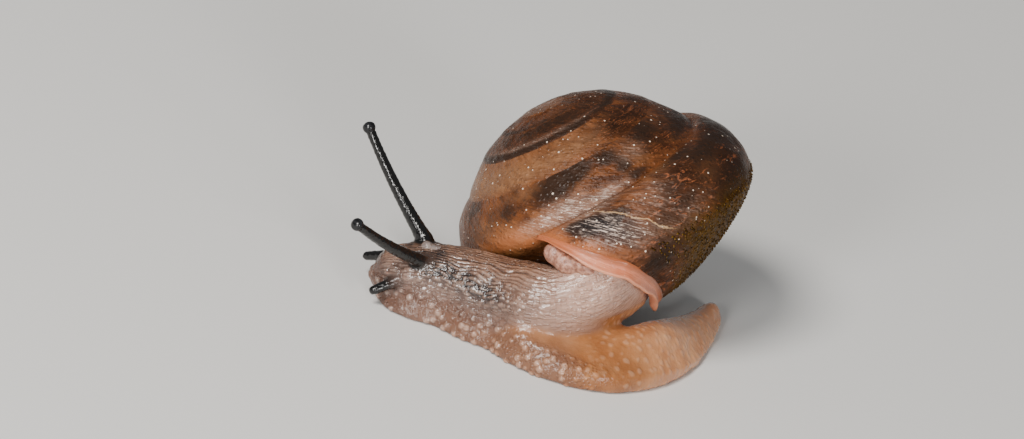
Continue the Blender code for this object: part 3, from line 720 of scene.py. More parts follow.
# Marks on the shell: whorl count back from the lip, place across the whorl (0 at the suture,
# 1 at the widest line, 2 in the umbilicus), spread each way, strength.
DARK_BLOTCHES = (
    (-1.035, 0.25, 0.045, 0.33, 1.0), (-1.075, 0.10, 0.035, 0.22, 0.9),
    (-0.962, 0.28, 0.022, 0.24, 0.7), (-0.880, 0.15, 0.030, 0.30, 0.6),
    (-1.125, 0.12, 0.020, 0.18, 0.8), (-1.140, 0.50, 0.016, 0.35, 0.8),
    (-1.150, 0.88, 0.022, 0.15, 0.7), (-1.205, 0.10, 0.036, 0.24, 1.0),
    (-1.250, 0.60, 0.060, 0.40, 0.45), (-1.330, 0.45, 0.080, 0.50, 0.8),
    (-0.235, 0.36, 0.045, 0.16, 0.75), (-0.310, 0.36, 0.050, 0.34, 0.85),
    (-0.245, 0.88, 0.040, 0.22, 0.6), (-0.200, 0.55, 0.060, 0.60, 0.22),
    (-0.270, 0.80, 0.060, 0.50, 0.25),
    (-0.070, 0.38, 0.026, 0.20, 1.0), (-0.093, 0.45, 0.022, 0.12, 0.9),
    (-0.050, 0.25, 0.015, 0.15, 0.7), (-0.118, 1.25, 0.030, 0.25, 0.8),
    (-0.150, 1.05, 0.030, 0.15, 0.5),
    (-0.165, 0.72, 0.022, 0.15, 0.6), (-0.200, 0.15, 0.030, 0.12, 0.7),
    (-2.950, 0.78, 0.300, 0.34, 0.85), (-2.600, 0.85, 0.140, 0.28, 0.60),
    (-3.050, 0.10, 0.300, 0.26, 0.70), (-3.350, 0.65, 0.260, 0.34, 0.75),
    (-3.900, 0.80, 0.350, 0.35, 0.70), (-4.500, 0.50, 0.300, 0.60, 0.50),
    (-1.700, 0.12, 0.150, 0.14, 0.60), (-2.400, 0.90, 0.120, 0.20, 0.60),
    (-1.500, 0.25, 0.050, 0.30, 0.9), (-1.600, 0.75, 0.060, 0.22, 0.7),
    (-1.720, 0.20, 0.050, 0.25, 0.8), (-0.420, 0.60, 0.040, 0.25, 0.8),
    (-0.520, 0.25, 0.050, 0.25, 0.9), (-0.600, 0.80, 0.040, 0.25, 0.7),
    (-0.700, 0.30, 0.040, 0.28, 0.9), (-0.790, 0.70, 0.040, 0.25, 0.6),
    (-0.350, 1.35, 0.060, 0.30, 0.5), (-0.600, 1.30, 0.060, 0.30, 0.5))
TAN_PATCHES = (
    (-1.960, 0.45, 0.170, 0.50, 1.0), (-1.820, 0.55, 0.140, 0.50, 0.8),
    (-2.100, 0.30, 0.060, 0.30, 0.5), (-0.960, 0.85, 0.050, 0.25, 0.6),
    (-0.998, 1.00, 0.030, 0.16, 0.8), (-1.000, 0.10, 0.060, 0.12, 0.5),
    (-1.165, 0.45, 0.018, 0.30, 0.4), (-0.215, 0.60, 0.020, 0.16, 0.6),
    (-0.180, 0.12, 0.030, 0.12, 0.7), (-0.132, 0.88, 0.016, 0.12, 0.7),
    (-0.920, 0.55, 0.040, 0.30, 0.4), (-4.700, 0.50, 0.500, 0.60, 0.4))
# Worn patches of silver, partly real wear and partly a painted sheen on the wet shell.
WORN_AND_SHEEN_PATCHES = (
    (-1.060, 0.88, 0.045, 0.12, 1.0), (-1.020, 0.80, 0.035, 0.14, 1.0),
    (-1.090, 0.92, 0.030, 0.12, 0.9), (-1.045, 0.62, 0.030, 0.14, 0.7),
    (-1.105, 0.80, 0.020, 0.12, 0.6), (-0.140, 0.42, 0.026, 0.24, 0.30),
    (-0.165, 0.88, 0.030, 0.20, 0.15), (-0.112, 0.78, 0.020, 0.20, 0.25),
    (-0.075, 0.12, 0.035, 0.10, 0.7), (-1.160, 0.30, 0.020, 0.20, 0.3),
    (-3.000, 0.50, 0.160, 0.12, 0.35))
# Painted shade: broad patches that darken the shell's top, right side and left edge, partly its own
# darker brown.
PAINTED_SHADE_PATCHES = (
    (-3.300, 0.40, 0.550, 0.60, 0.80), (-4.200, 0.50, 0.400, 0.80, 0.55),
    (-2.280, 0.50, 0.130, 0.70, 0.95), (-2.190, 0.62, 0.045, 0.55, 0.80),
    (-2.600, 0.50, 0.250, 0.60, 0.60),
    (-1.310, 0.55, 0.120, 0.60, 0.85), (-1.195, 0.40, 0.035, 0.45, 0.65),
    (-0.300, 0.35, 0.060, 0.50, 0.95), (-0.230, 0.75, 0.055, 0.45, 0.80),
    (-0.172, 0.42, 0.034, 0.36, 0.75), (-0.135, 0.72, 0.030, 0.35, 0.65),
    (-0.110, 1.05, 0.040, 0.25, 0.60), (-0.870, 0.30, 0.050, 0.40, 0.45),
    (-0.210, 1.10, 0.060, 0.30, 0.70))

# Where the pale thread of the last rest lies, in growth lines behind the lip, and where the
# moss-brown horn of the base begins, in whorls behind it. Then the fan's middle and spread.
REST_STEP = 13.5
MOSS_TURN = 0.125
FAN_STEP = 10.5
FAN_SPREAD = 5.5


def fan_at(steps, across):
    """The slate-dark fan of silver threads behind the lip, 0 to 1."""
    along_growth = math.exp(-((steps - FAN_STEP) / FAN_SPREAD) ** 2)
    return along_growth * smooth((across - 0.15) / 0.15) * (1 - smooth((across - 0.72) / 0.2))


def glow_at(turn, steps, across):
    """The orange shell just behind the lip, 0 to 1, widest at its upper end."""
    behind = math.exp(-(steps / (7.5 - 5.0 * min(across, 1.0))) ** 2) if abs(steps) < 30 else 0.0
    root = math.exp(-((turn + 0.990) / 0.020) ** 2 - ((across - 1.05) / 0.13) ** 2)
    below = 0.75 * math.exp(-((turn + 0.972) / 0.045) ** 2 - ((across - 0.90) / 0.22) ** 2)
    return max(behind * (1 - smooth((across - 0.6) / 0.5)), root, below)


def patch_sum(patches, turn, across):
    total = 0.0
    for where, level, wide, tall, amount in patches:
        spread = ((turn - where) / wide) ** 2 + ((across - level) / tall) ** 2
        total += amount * math.exp(-spread * 1.2)
    return min(total, 1.0)


def sweep_sheet(bm, growth, lines, first_step, arc, count, shift):
    """One sheet of the shell: a grid whose columns are growth lines."""
    columns = -first_step
    made = bmesh.ops.create_grid(bm, x_segments=columns, y_segments=count, size=1.0)["verts"]
    places = {}
    for vert in made:
        step = first_step + round((vert.co.x + 1) / 2 * columns)
        share = round((vert.co.y + 1) / 2 * count) / count
        places[vert] = (step, share)
    faces = {face for vert in made for face in vert.link_faces}
    for face in faces:
        for loop in face.loops:
            step, share = places[loop.vert]
            across = share * (1 + shift * 0.6) + shift
            loop[growth].uv = (whorl_turn(step, arc, share), across)
            loop[lines].uv = (step / TURN_STEPS, across)
    for vert, (step, share) in places.items():
        vert.co = shell_point(step, arc, share)


def close_rims(bm):
    """Closes each open rim with a fan of faces."""
    rim = [edge for edge in bm.edges if edge.is_boundary]
    while rim:
        start = rim[0]
        loop_verts = [start.verts[0], start.verts[1]]
        used = {start}
        while True:
            onward = [edge for edge in loop_verts[-1].link_edges
                      if edge.is_boundary and edge not in used]
            if not onward:
                break
            used.add(onward[0])
            loop_verts.append(onward[0].other_vert(loop_verts[-1]))
        if loop_verts[-1] is loop_verts[0]:
            loop_verts.pop()
        face = bm.faces.new(loop_verts)
        bmesh.ops.poke(bm, faces=[face])
        rim = [edge for edge in bm.edges if edge.is_boundary]


def build_shell(material):
    bm = bmesh.new()
    growth = bm.loops.layers.uv.new("growth")
    lines = bm.loops.layers.uv.new("growth_lines")
    first = round(FIRST_TURN * TURN_STEPS)
    sweep_sheet(bm, growth, lines, first, "upper", UPPER_STEPS, 0.0)
    sweep_sheet(bm, growth, lines, parietal_step(), "lower", LOWER_STEPS, 1.0)
    swept = set(bm.faces)
    bmesh.ops.remove_doubles(bm, verts=bm.verts, dist=WELD_DISTANCE)
    close_rims(bm)
    bmesh.ops.recalc_face_normals(bm, faces=bm.faces)
    axis = SHELL_MATRIX.to_3x3() @ Vector((0, 0, 1))
    top = max(bm.faces, key=lambda face: face.calc_center_median().dot(axis))
    if top.normal.dot(axis) < 0:
        bmesh.ops.reverse_faces(bm, faces=bm.faces)
    bm.normal_update()
    marks = bm.loops.layers.float_color.new("shell_marks")
    tones = bm.loops.layers.float_color.new("shell_tones")
    lifts = {}
    for face in bm.faces:
        for loop in face.loops:
            if face not in swept:
                loop[growth].uv = loop[lines].uv = (FIRST_TURN, 0.5)
            turn, across = loop[growth].uv
            rough = smooth((across - 0.75) / 0.5) * smooth((turn + 1.05) / 0.25)
            loop[marks] = (patch_sum(DARK_BLOTCHES, turn, across),
                           patch_sum(TAN_PATCHES, turn, across),
                           patch_sum(WORN_AND_SHEEN_PATCHES, turn, across), rough)
            steps = -loop[lines].uv.x * TURN_STEPS
            # Painted shade from the shade patches, and the dark brown of the rough horn at the base.
            shade = max(patch_sum(PAINTED_SHADE_PATCHES, turn, across), 0.8 * rough)
            moss = rough * smooth((-turn - MOSS_TURN) / 0.05)
            loop[tones] = (shade, glow_at(turn, steps, across), fan_at(steps, across), moss)
            vert = loop.vert
            if vert not in lifts:
                rib = noise.noise(Vector((turn * 55, across * 1.1, 1.0)))
                fold = noise.noise(Vector((turn * 17, across * 0.9, 7.0)))
                dent = noise.noise(vert.co * 0.9)
                scale = noise.noise(vert.co * 4.5)
                lift = (RIB_HEIGHT * rib + FOLD_HEIGHT * fold + DENT_HEIGHT * dent
                        + GRAIN_HEIGHT * rough * max(scale, 0.0) - SHELL_INSET)
                lifts[vert] = lift * smooth((turn - FIRST_TURN) / 0.8)
    for vert, lift in lifts.items():
        if not vert.is_boundary:
            vert.co += vert.normal * lift
    return finish_piece(mesh_object("snail_shell", bm), material, "shell", "shell")


def build_lip(material):
    """The lip turned out along the outer and basal edge of the mouth."""
    centre, normal, _, _ = mouth_frame()
    lip, _ = mouth_loop(0, 24, 48)
    stations = lip[1:-13]
    rings = []
    for index, point in enumerate(stations):
        share = index / (len(stations) - 1)
        thick = LIP_THINNEST + (1 - LIP_THINNEST) * smooth(min(share * 5, (1 - share) * 7))
        tall = LIP_THINNEST + (1 - LIP_THINNEST) * smooth((share - 0.06) * 3.2)
        tall *= 0.85 + 0.15 * smooth((1 - share) * 9)
        tall *= 1 - LIP_DIP * math.exp(-((share - LIP_DIP_PLACE) / 0.16) ** 2)
        inwards = centre - point
        inwards = (inwards - normal * inwards.dot(normal)).normalized()
        waver = 1 + 0.05 * math.sin(share * 23) + 0.03 * math.sin(share * 51)
        rings.append([point + inwards * (wide * thick if wide > 0 else wide)
                      + normal * out * tall * waver for wide, out in LIP_PROFILE])
    bm = loft(rings)
    places = np.array([place for ring in rings for place in ring])
    depth = bm.verts.layers.float.new("lip_depth")
    run = bm.verts.layers.float.new("lip_run")
    for vert in bm.verts:
        found = int(((places - np.array(vert.co)) ** 2).sum(1).argmin())
        vert[depth] = max(LIP_PROFILE[found % len(LIP_PROFILE)][1], 0.0)
        vert[run] = found // len(LIP_PROFILE) / (len(rings) - 1)
    lip_piece = mesh_object("shell_lip_band", bm)
    return finish_piece(lip_piece, material, "shell_lip", "shell_lip")


def build_collar(material):
    """The mantle's swollen edge: it fills the mouth and swells in three lobes under the lip."""
    rings = [mouth_ring(1.6, 0.0, step=-6), mouth_ring(0.72, -0.1), mouth_ring(0.6, 0.2),
             mouth_ring(0.75, 0.42), mouth_ring(1.1, 0.55), mouth_ring(1.6, 0.5),
             mouth_ring(2.1, 0.3)]
    centre, normal, far, forward = mouth_frame()
    turn = Matrix((forward, far, normal)).transposed().to_4x4()
    pieces = [loft(rings)]
    for across, ahead, out, size in COLLAR_LOBES:
        lobe = ball(Vector((0, 0, 0)), size)
        middle = centre + far * across + forward * ahead + normal * out
        bmesh.ops.transform(lobe, matrix=Matrix.Translation(middle) @ turn, verts=lobe.verts)
        pieces.append(lobe)
    bm = fused("mantle", pieces, COLLAR_GRAIN)
    relax(bm, 3)
    bm.normal_update()
    for vert in bm.verts:
        fold = noise.noise(vert.co * 1.7)
        grain = noise.noise(vert.co * 6.0)
        vert.co += vert.normal * (0.025 * fold + 0.012 * grain)
    collar = mesh_object("mantle_edge", bm)
    return finish_piece(collar, material, "mantle", "mantle_collar")


def build_scales(material):
    """Small loose scales of the shell's horny skin, rooted along its widest line and base."""
    bm = bmesh.new()
    bake = bm.loops.layers.uv.new("OFBake")
    steps = [(step, step % 2) for step in range(-SCALE_LAST_STEP, -6, SCALE_STEP)]
    for step, odd in steps:
        for row in range(SCALE_ROWS):
            level = (row + 0.5 * odd) * SCALE_SPACING
            key = Vector((step * 0.37, row * 1.7, 3.0))
            level += 0.35 * SCALE_SPACING * noise.noise(key)
            shifted = step + 2.0 * noise.noise(key + Vector((5.0, 0, 0)))
            turn = whorl_turn(shifted, "lower", level)
            show = smooth((turn + 1.0) / 0.2) * (1 - smooth((level - 0.45) / 0.35))
            if show < 0.5 + 0.5 * noise.noise(key * 2.3):
                continue
            root = shell_point(shifted, "lower", level)
            ahead = (shell_point(shifted + 1.5, "lower", level) - root).normalized()
            across = (shell_point(shifted, "lower", level + 0.01) - root).normalized()
            out = across.cross(ahead).normalized()
            if out.dot(root - Vector(SHELL_AXIS_POINT)) < 0:
                out.negate()
            size = SCALE_SIZE * (0.8 + 0.7 * abs(noise.noise(key * 1.3)))
            flake = bmesh.ops.create_cone(bm, cap_ends=True, segments=5,
                                          radius1=SCALE_BASE_RADIUS, radius2=SCALE_TIP_RADIUS,
                                          depth=1.0)["verts"]
            faces = {face for vert in flake for face in vert.link_faces}
            lean = 0.6 + 0.5 * noise.noise(key * 0.9)
            for vert in flake:
                x, y, z = vert.co
                rise = z + 0.5
                vert.co = (root + ahead * size * (0.5 * x + 1.1 * rise * lean)
                           + across * size * y * 1.1 + out * size * (0.52 * rise - SCALE_ROOT))
            middle_u = 0.05 + 0.9 * (turn + 1.1) / 1.1
            middle_v = 0.05 + 0.9 * min(level, 1.0)
            for face in faces:
                for loop in face.loops:
                    spread = (loop.vert.co - root) / size
                    loop[bake].uv = (middle_u + 0.001 * spread.dot(ahead),
                                     middle_v + 0.001 * spread.dot(across))
    bmesh.ops.recalc_face_normals(bm, faces=bm.faces)
    return finish_piece(mesh_object("shell_scales", bm), material, "shell")


# Body

def along(stations):
    lengths = [0.0]
    for here, there in zip(stations, stations[1:]):
        lengths.append(lengths[-1] + math.hypot(there[0] - here[0], there[1] - here[1]))
    return lengths


def at_length(stations, length):
    """Values at a length along the stations, by a smooth cubic through them."""
    lengths = along(stations)
    last = len(stations) - 2
    index = min(max(sum(mark <= length for mark in lengths) - 1, 0), last)
    span = lengths[index + 1] - lengths[index]
    share = min(max((length - lengths[index]) / span, 0.0), 1.0)

    def slope(place, column):
        low, high = max(place - 1, 0), min(place + 1, len(stations) - 1)
        return (stations[high][column] - stations[low][column]) / (lengths[high] - lengths[low])

    values = []
    for column in range(len(stations[0])):
        start, end = stations[index][column], stations[index + 1][column]
        rise_0, rise_1 = slope(index, column) * span, slope(index + 1, column) * span
        values.append(hermite(start, rise_0, end, rise_1, share))
    return values


def heading(stations, length):
    step = 0.05
    last = along(stations)[-1]
    back = at_length(stations, max(length - step, 0.0))
    ahead = at_length(stations, min(length + step, last))
    return Vector((ahead[0] - back[0], ahead[1] - back[1], 0.0)).normalized()


def spaced(start, end, step):
    count = max(2, round((end - start) / step))
    return [start + (end - start) * index / count for index in range(count + 1)]


def foot_ring(length):
    """Cross-section of the foot: flat sole, thin rim and a slope that rises to the flank."""
    x, y, half, side, dome = at_length(FOOT_STATIONS, length)
    half -= BEAD_HEIGHT * (1 - smooth((length - 11.0) / 3.0))
    ahead = heading(FOOT_STATIONS, length)
    across = Vector((-ahead.y, ahead.x, 0.0))
    skirt = SKIRT_HEIGHT * smooth((length - 0.6) / 2.0) * (1 - smooth((length - 8.5) / 4.0))
    edge = [(wide, low * side + high * skirt) for wide, low, high in FOOT_SIDE]
    outline = [(-wide, tall) for wide, tall in edge[::-1]]
    outline += [(share, 0.0) for share in FOOT_SOLE]
    outline += edge
    for share in FOOT_BACK:
        outline.append((share, side + skirt + dome * max(1 - share ** 2 / BACK_FALL, 0.0)))
    centre = Vector((x, y, 0.0))
    return [centre + across * half * wide + Vector((0, 0, tall)) for wide, tall in outline]


def neck_ring(length):
    x, y, z, half, tall = at_length(NECK_STATIONS, length)
    ahead = heading(NECK_STATIONS, length)
    across = Vector((-ahead.y, ahead.x, 0.0))
    if across.y < 0:
        across.negate()
    ring = []
    for index in range(NECK_SIDES):
        angle = 2 * math.pi * index / NECK_SIDES
        place = (Vector((x, y, z)) + across * half * math.cos(angle)
                 + Vector((0, 0, tall * math.sin(angle))))
        place.z = max(place.z, 0.15)
        ring.append(place)
    return ring


def stalk_rings(steps=22):
    """The body rises from the end of the neck and the foot into the shell's mouth."""
    end = along(NECK_STATIONS)[-1]
    first = neck_ring(end)
    ahead = heading(NECK_STATIONS, end)
    _, normal, _, _ = mouth_frame()
    last = mouth_ring(0.72, 0.15, 2.1)
    rings = []
    for step in range(1, steps + 1):
        share = step / steps
        ring = []
        for index, (here, there) in enumerate(zip(first, last)):
            reach = (there - here).length
            low = 0.5 - 0.5 * math.sin(2 * math.pi * index / NECK_SIDES)
            bend = STALK_BEND[0] + STALK_BEND[1] * low
            out = (ahead + Vector((0, 0, STALK_RISE))).normalized() * reach * bend
            into = -normal * reach * bend
            place = hermite(here, out, there, into, share)
            place.z = max(place.z, 0.3)
            ring.append(place)
        rings.append(ring)
    return rings


def tube_axis(ends, sag, share):
    start, end = Vector(ends[0]), Vector(ends[1])
    axis = end - start
    side = axis.cross(Vector((0, 0, 1))).normalized()
    up = side.cross(axis).normalized()
    return start + axis * share - up * sag * math.sin(math.pi * share)


def tube_ring(ends, sag, share, radius, sides=TUBE_SIDES):
    ahead = (tube_axis(ends, sag, share + 0.01) - tube_axis(ends, sag, share - 0.01)).normalized()
    side = ahead.cross(Vector((0, 0, 1))).normalized()
    up = side.cross(ahead).normalized()
    return [tube_axis(ends, sag, share) + side * radius * math.cos(turn)
            + up * radius * math.sin(turn)
            for turn in (2 * math.pi * index / sides for index in range(sides))]


def radius_at(radii, share):
    place = min(max(share, 0.0), 1.0) * (len(radii) - 1)
    low = min(int(place), len(radii) - 2)
    return radii[low] + (radii[low + 1] - radii[low]) * (place - low)


TENTACLES = (("ocular_left", OCULAR_LEFT, OCULAR_RADII, OCULAR_SAG),
             ("ocular_right", OCULAR_RIGHT, OCULAR_RADII, OCULAR_SAG),
             ("labial_left", LABIAL_LEFT, LABIAL_RADII, 0.0),
             ("labial_right", LABIAL_RIGHT, LABIAL_RADII, 0.0))


def sunk_ring(ends, sag, out, radius):
    """A ring of a tentacle's root, drawn into the head the further back it lies."""
    start = Vector(ends[0])
    length = (Vector(ends[1]) - start).length
    into = (Vector(HEAD_MIDDLE) - start).normalized() * max(-out, 0.0)
    return [place + into for place in tube_ring(ends, sag, out / length, radius)]


def tentacle_rings(name, ends, radii, sag):
    length = (Vector(ends[1]) - Vector(ends[0])).length
    stop = 1 - EYE_SEAT * EYE_RADIUS / length if name.startswith("ocular") else 1.0
    rings = [sunk_ring(ends, sag, -0.9, radii[0] * 1.1), sunk_ring(ends, sag, -0.35, radii[0] * 1.2)]
    steps = OCULAR_STEPS if name.startswith("ocular") else LABIAL_STEPS
    for index in range(steps + 1):
        share = stop * index / steps
        radius = radius_at(radii, share) * (1 + ROOT_FLARE * math.exp(-share * length / FLARE_LENGTH))
        rings.append(tube_ring(ends, sag, share, radius))
    if name.startswith("labial"):
        for beyond, part in LABIAL_TIP:
            back = (LABIAL_TIP[-1][0] - beyond) / length
            rings.append(tube_ring(ends, sag, 1 - back, radii[-1] * part))
        rings.pop(-4)
    return rings


def fused(name, pieces, voxel):
    """One closed skin round overlapping closed bodies, in even quads."""
    bm = bmesh.new()
    for piece in pieces:
        mesh = bpy.data.meshes.new("part")
        piece.to_mesh(mesh)
        piece.free()
        bm.from_mesh(mesh)
        bpy.data.meshes.remove(mesh)
    bmesh.ops.recalc_face_normals(bm, faces=bm.faces)
    whole = mesh_object(name, bm)
    tool = whole.modifiers.new("even", "REMESH")
    tool.mode = "VOXEL"
    tool.voxel_size = voxel
    tool.adaptivity = 0.0
    graph = bpy.context.evaluated_depsgraph_get()
    mesh = bpy.data.meshes.new_from_object(whole.evaluated_get(graph))
    bpy.data.objects.remove(whole, do_unlink=True)
    made = bmesh.new()
    made.from_mesh(mesh)
    bpy.data.meshes.remove(mesh)
    return made


def relax(bm, rounds, verts=None):
    for _ in range(rounds):
        bmesh.ops.smooth_vert(bm, verts=verts or bm.verts, factor=0.5,
                              use_axis_x=True, use_axis_y=True, use_axis_z=True)


def ball(middle, size):
    bm = bmesh.new()
    bmesh.ops.create_icosphere(bm, subdivisions=3, radius=1.0)
    bmesh.ops.scale(bm, vec=size, verts=bm.verts)
    bmesh.ops.translate(bm, vec=middle, verts=bm.verts)
    return bm


def soften_creases(bm, rounds):
    """Relaxes the hollows between overlapping bodies and a little way around them."""
    for _ in range(rounds):
        bm.normal_update()
        hollow = set()
        for vert in bm.verts:
            near = [edge.other_vert(vert) for edge in vert.link_edges]
            middle = sum((other.co for other in near), Vector()) / len(near)
            if (middle - vert.co).dot(vert.normal) > CREASE_DEPTH:
                hollow.add(vert)
        for _ in range(4):
            hollow |= {edge.other_vert(vert) for vert in hollow for edge in vert.link_edges}
        relax(bm, 5, list(hollow))


def body_core():
    """Neck, stalk and foot blended into one soft body."""
    neck_end = along(NECK_STATIONS)[-1]
    neck = [neck_ring(length) for length in spaced(0.0, neck_end, 0.3)] + stalk_rings()
    foot_end = along(FOOT_STATIONS)[-1]
    foot = [foot_ring(length) for length in spaced(0.0, foot_end, 0.4)]
    roots = []
    for name, ends, radii, sag in TENTACLES[:2]:
        roots.append(loft([sunk_ring(ends, sag, out, radii[0] * wide)
                           for out, wide in ROOT_RINGS]))
    core = fused("body_core", [loft(neck), loft(foot)] + roots, CORE_GRAIN)
    relax(core, 5)
    soften_creases(core, 5)
    for vert in core.verts:
        vert.co.z = max(vert.co.z, 0.0)
    return core


def centre_paths():
    """Centre lines of neck with stalk, and of foot, as arrays of points with their lengths."""
    neck_end = along(NECK_STATIONS)[-1]
    points = []
    for length in spaced(0.0, neck_end, 0.15):
        x, y, z, _, _ = at_length(NECK_STATIONS, length)
        points.append((x, y, z))
    for ring in stalk_rings(30):
        middle = sum(ring, Vector()) / len(ring)
        points.append(tuple(middle))
    neck = np.array(points)
    foot_end = along(FOOT_STATIONS)[-1]
    foot = np.array([at_length(FOOT_STATIONS, length) for length in spaced(0.0, foot_end, 0.1)])
    return neck, foot


def nearest(points, path):
    """For each point, the number of the path's nearest point."""
    found = np.zeros(len(points), int)
    for start in range(0, len(points), POINTS_AT_ONCE):
        block = points[start:start + POINTS_AT_ONCE]
        gaps = ((block[:, None, :] - path[None, :, :]) ** 2).sum(2)
        found[start:start + POINTS_AT_ONCE] = gaps.argmin(1)
    return found


def skin_fields(points):
    """Where each point of the skin lies on the snail, as a set of named arrays."""
    neck, foot = centre_paths()
    neck_lengths = np.concatenate([[0], np.cumsum(np.linalg.norm(np.diff(neck, axis=0), axis=1))])
    at_neck = nearest(points, neck)
    offset = points - neck[at_neck]
    tangent = np.gradient(neck, axis=0)
    tangent /= np.linalg.norm(tangent, axis=1)[:, None]
    across = np.cross(np.array([0.0, 0.0, 1.0]), tangent)
    across /= np.linalg.norm(across, axis=1)[:, None]
    up = np.cross(tangent, across)
    wide = (offset * across[at_neck]).sum(1)
    high = (offset * up[at_neck]).sum(1)
    angle = np.arctan2(wide, high)
    foot_lengths = np.concatenate([[0], np.cumsum(np.hypot(*np.diff(foot[:, :2], axis=0).T))])
    at_foot = nearest(points[:, :2], foot[:, :2])
    foot_off = points[:, :2] - foot[at_foot, :2]
    step = np.gradient(foot[:, :2], axis=0)
    step /= np.linalg.norm(step, axis=1)[:, None]
    lateral = foot_off[:, 0] * -step[at_foot, 1] + foot_off[:, 1] * step[at_foot, 0]
    black = np.zeros(len(points))
    root_gap = np.full(len(points), FAR)
    for name, ends, radii, sag in TENTACLES:
        length = (Vector(ends[1]) - Vector(ends[0])).length
        shares = [index / TUBE_SAMPLES for index in range(TUBE_SAMPLES + 1)]
        line = np.array([tube_axis(ends, sag, share) for share in shares])
        where = nearest(points, line)
        gap = np.linalg.norm(points - line[where], axis=1)
        limit = np.array([radius_at(radii, share) for share in shares])[where]
        out = where / TUBE_SAMPLES * length
        flare = 1.22 + ROOT_FLARE * np.exp(-out / FLARE_LENGTH)
        inside = gap - limit * flare
        if name.startswith("ocular"):
            root_gap = np.minimum(root_gap, inside + np.maximum(out - 0.5, 0.0))
        fade = 0.55 if name.endswith("left") else 0.0
        shown = ramp(-inside, -0.20, 0.0) * (1 - fade * (1 - ramp(out, 0.0, 0.9)))
        black = np.maximum(black, shown)
    return {"length": neck_lengths[at_neck], "angle": angle,
            "foot_length": foot_lengths[at_foot],
            "foot_side": np.abs(lateral) / foot[at_foot, 2],
            "black": black, "root_gap": root_gap, "z": points[:, 2]}


def cell_gaps(points, seed):
    """Distance from each point to its nearest scattered seed, one seed to a unit cell."""
    cells = np.floor(points).astype(np.int64)
    width = points.shape[1]
    best = np.full(len(points), FAR)
    offsets = np.stack(np.meshgrid(*[NEIGHBOURS] * width, indexing="ij"), -1).reshape(-1, width)
    for offset in offsets:
        cell = cells + offset
        place = cell.astype(float) + 0.5
        for axis in range(width):
            mixed = np.sin(cell @ HASH_STEPS[axis][:width] + seed) * HASH_SCALE
            place[:, axis] += (mixed - np.floor(mixed) - 0.5) * SEED_JITTER
        best = np.minimum(best, np.linalg.norm(points - place, axis=1))
    return best


def scatter(numbers, seed):
    """An even spread of values, -0.5 to 0.5, from whole numbers."""
    mixed = np.sin(numbers * HASH_STEPS[0, 0] + seed) * HASH_SCALE
    return mixed - np.floor(mixed) - 0.5


def row_gaps(points, seed):
    """As cell_gaps, for long warts that lie in rows, each row shifted and spaced its own way."""
    best = np.full(len(points), FAR)
    row = np.floor(points[:, 1])
    for side in NEIGHBOURS:
        line = row + side
        middle = line + 0.5 + 0.2 * scatter(line, seed)
        shifted = points[:, 0] + 3.0 * scatter(line, seed + 5.0)
        column = np.floor(shifted)
        for step in NEIGHBOURS:
            place = column + step
            start = place + 0.5 + 0.8 * scatter(place + 57.0 * line, seed + 9.0)
            rise = points[:, 1] - middle - 0.35 * scatter(place * 3.0 + 31.0 * line, seed + 2.0)
            size = 1.0 + 0.6 * scatter(place * 7.0 + 17.0 * line, seed + 4.0)
            best = np.minimum(best, np.hypot(shifted - start, rise) * size)
    return best


def ridge_gaps(across, seed):
    """Distance to the nearest row's middle line, with the rows of row_gaps."""
    row = np.floor(across)
    gaps = [np.abs(across - row - side - 0.5 - 0.2 * scatter(row + side, seed))
            for side in NEIGHBOURS]
    return np.minimum.reduce(gaps)


def dome_of(gaps, reach):
    return np.clip(1 - (gaps / reach) ** 2, 0.0, 1.0)


def skin_warts(points, fields, zones):
    """Height of the warts, 0 to 1, in long rows on the flank and as round beads lower down."""
    swing = np.array([noise.noise(Vector(point) * 0.9) for point in points])
    wobble = np.array([noise.noise(Vector(point) * 2.2 + Vector((9, 4, 1))) for point in points])
    across = fields["angle"] * FLANK_RADIUS / WART_WIDTH + 1.1 * swing + 0.35 * wobble
    flank = np.stack([fields["length"] / WART_LENGTH + 0.5 * wobble, across], 1)
    rows = dome_of(row_gaps(flank, 1.7), 0.52)
    on_back = 1 - ramp(np.abs(fields["angle"]), 0.70, 1.05)
    ridges = dome_of(ridge_gaps(across, 1.7), 0.46) * (0.72 + 0.35 * wobble)
    rows = rows + on_back * (np.maximum(0.45 * rows, np.clip(ridges, 0, 1)) - rows)
    beads = dome_of(cell_gaps(points / BEAD_SPACING, 4.1), 0.46)
    swung = points + 0.12 * np.stack([wobble, swing, -wobble], 1)
    spots = dome_of(cell_gaps(swung / SPOT_SPACING, 8.3), 0.48)
    tufts = dome_of(cell_gaps(points / TUFT_SPACING, 2.9), 0.55)
    return (rows * zones["neck"] * zones["rows"], beads * zones["rim"], spots * zones["tail"],
            tufts * zones["black"])


def skin_zones(fields):
    """How far each point belongs to the differently built parts of the skin, 0 to 1."""
    neck_end = along(NECK_STATIONS)[-1]
    length, angle, height = fields["length"], fields["angle"], fields["z"]
    black = fields["black"]
    step_up = 1.15 * ramp(fields["foot_length"], 7.4, 9.6)
    low = 1 - ramp(height - step_up, 0.80, 1.35)
    tail = ramp(fields["foot_length"], 10.6, 13.6) * (1 - ramp(height, 2.9, 3.4))
    edge = ramp(fields["foot_side"], 0.50, 0.72) * (1 - ramp(height, 1.2, 2.0))
    rim = edge * (1 - black)
    neck = (1 - low) * (1 - tail) * (1 - black)
    sleek = ramp(length, neck_end - 0.4, neck_end + 2.2) * (1 - low) * (1 - tail)
    lower_flank = ramp(np.abs(angle), 1.35, 1.8)
    rows = (1 - 0.6 * sleek) * (1 - 0.55 * lower_flank) * ramp(length, 0.3, 1.0)
    return {"black": black, "low": low, "tail": tail, "rim": rim * (1 - tail), "neck": neck,
            "sleek": sleek, "rows": rows}


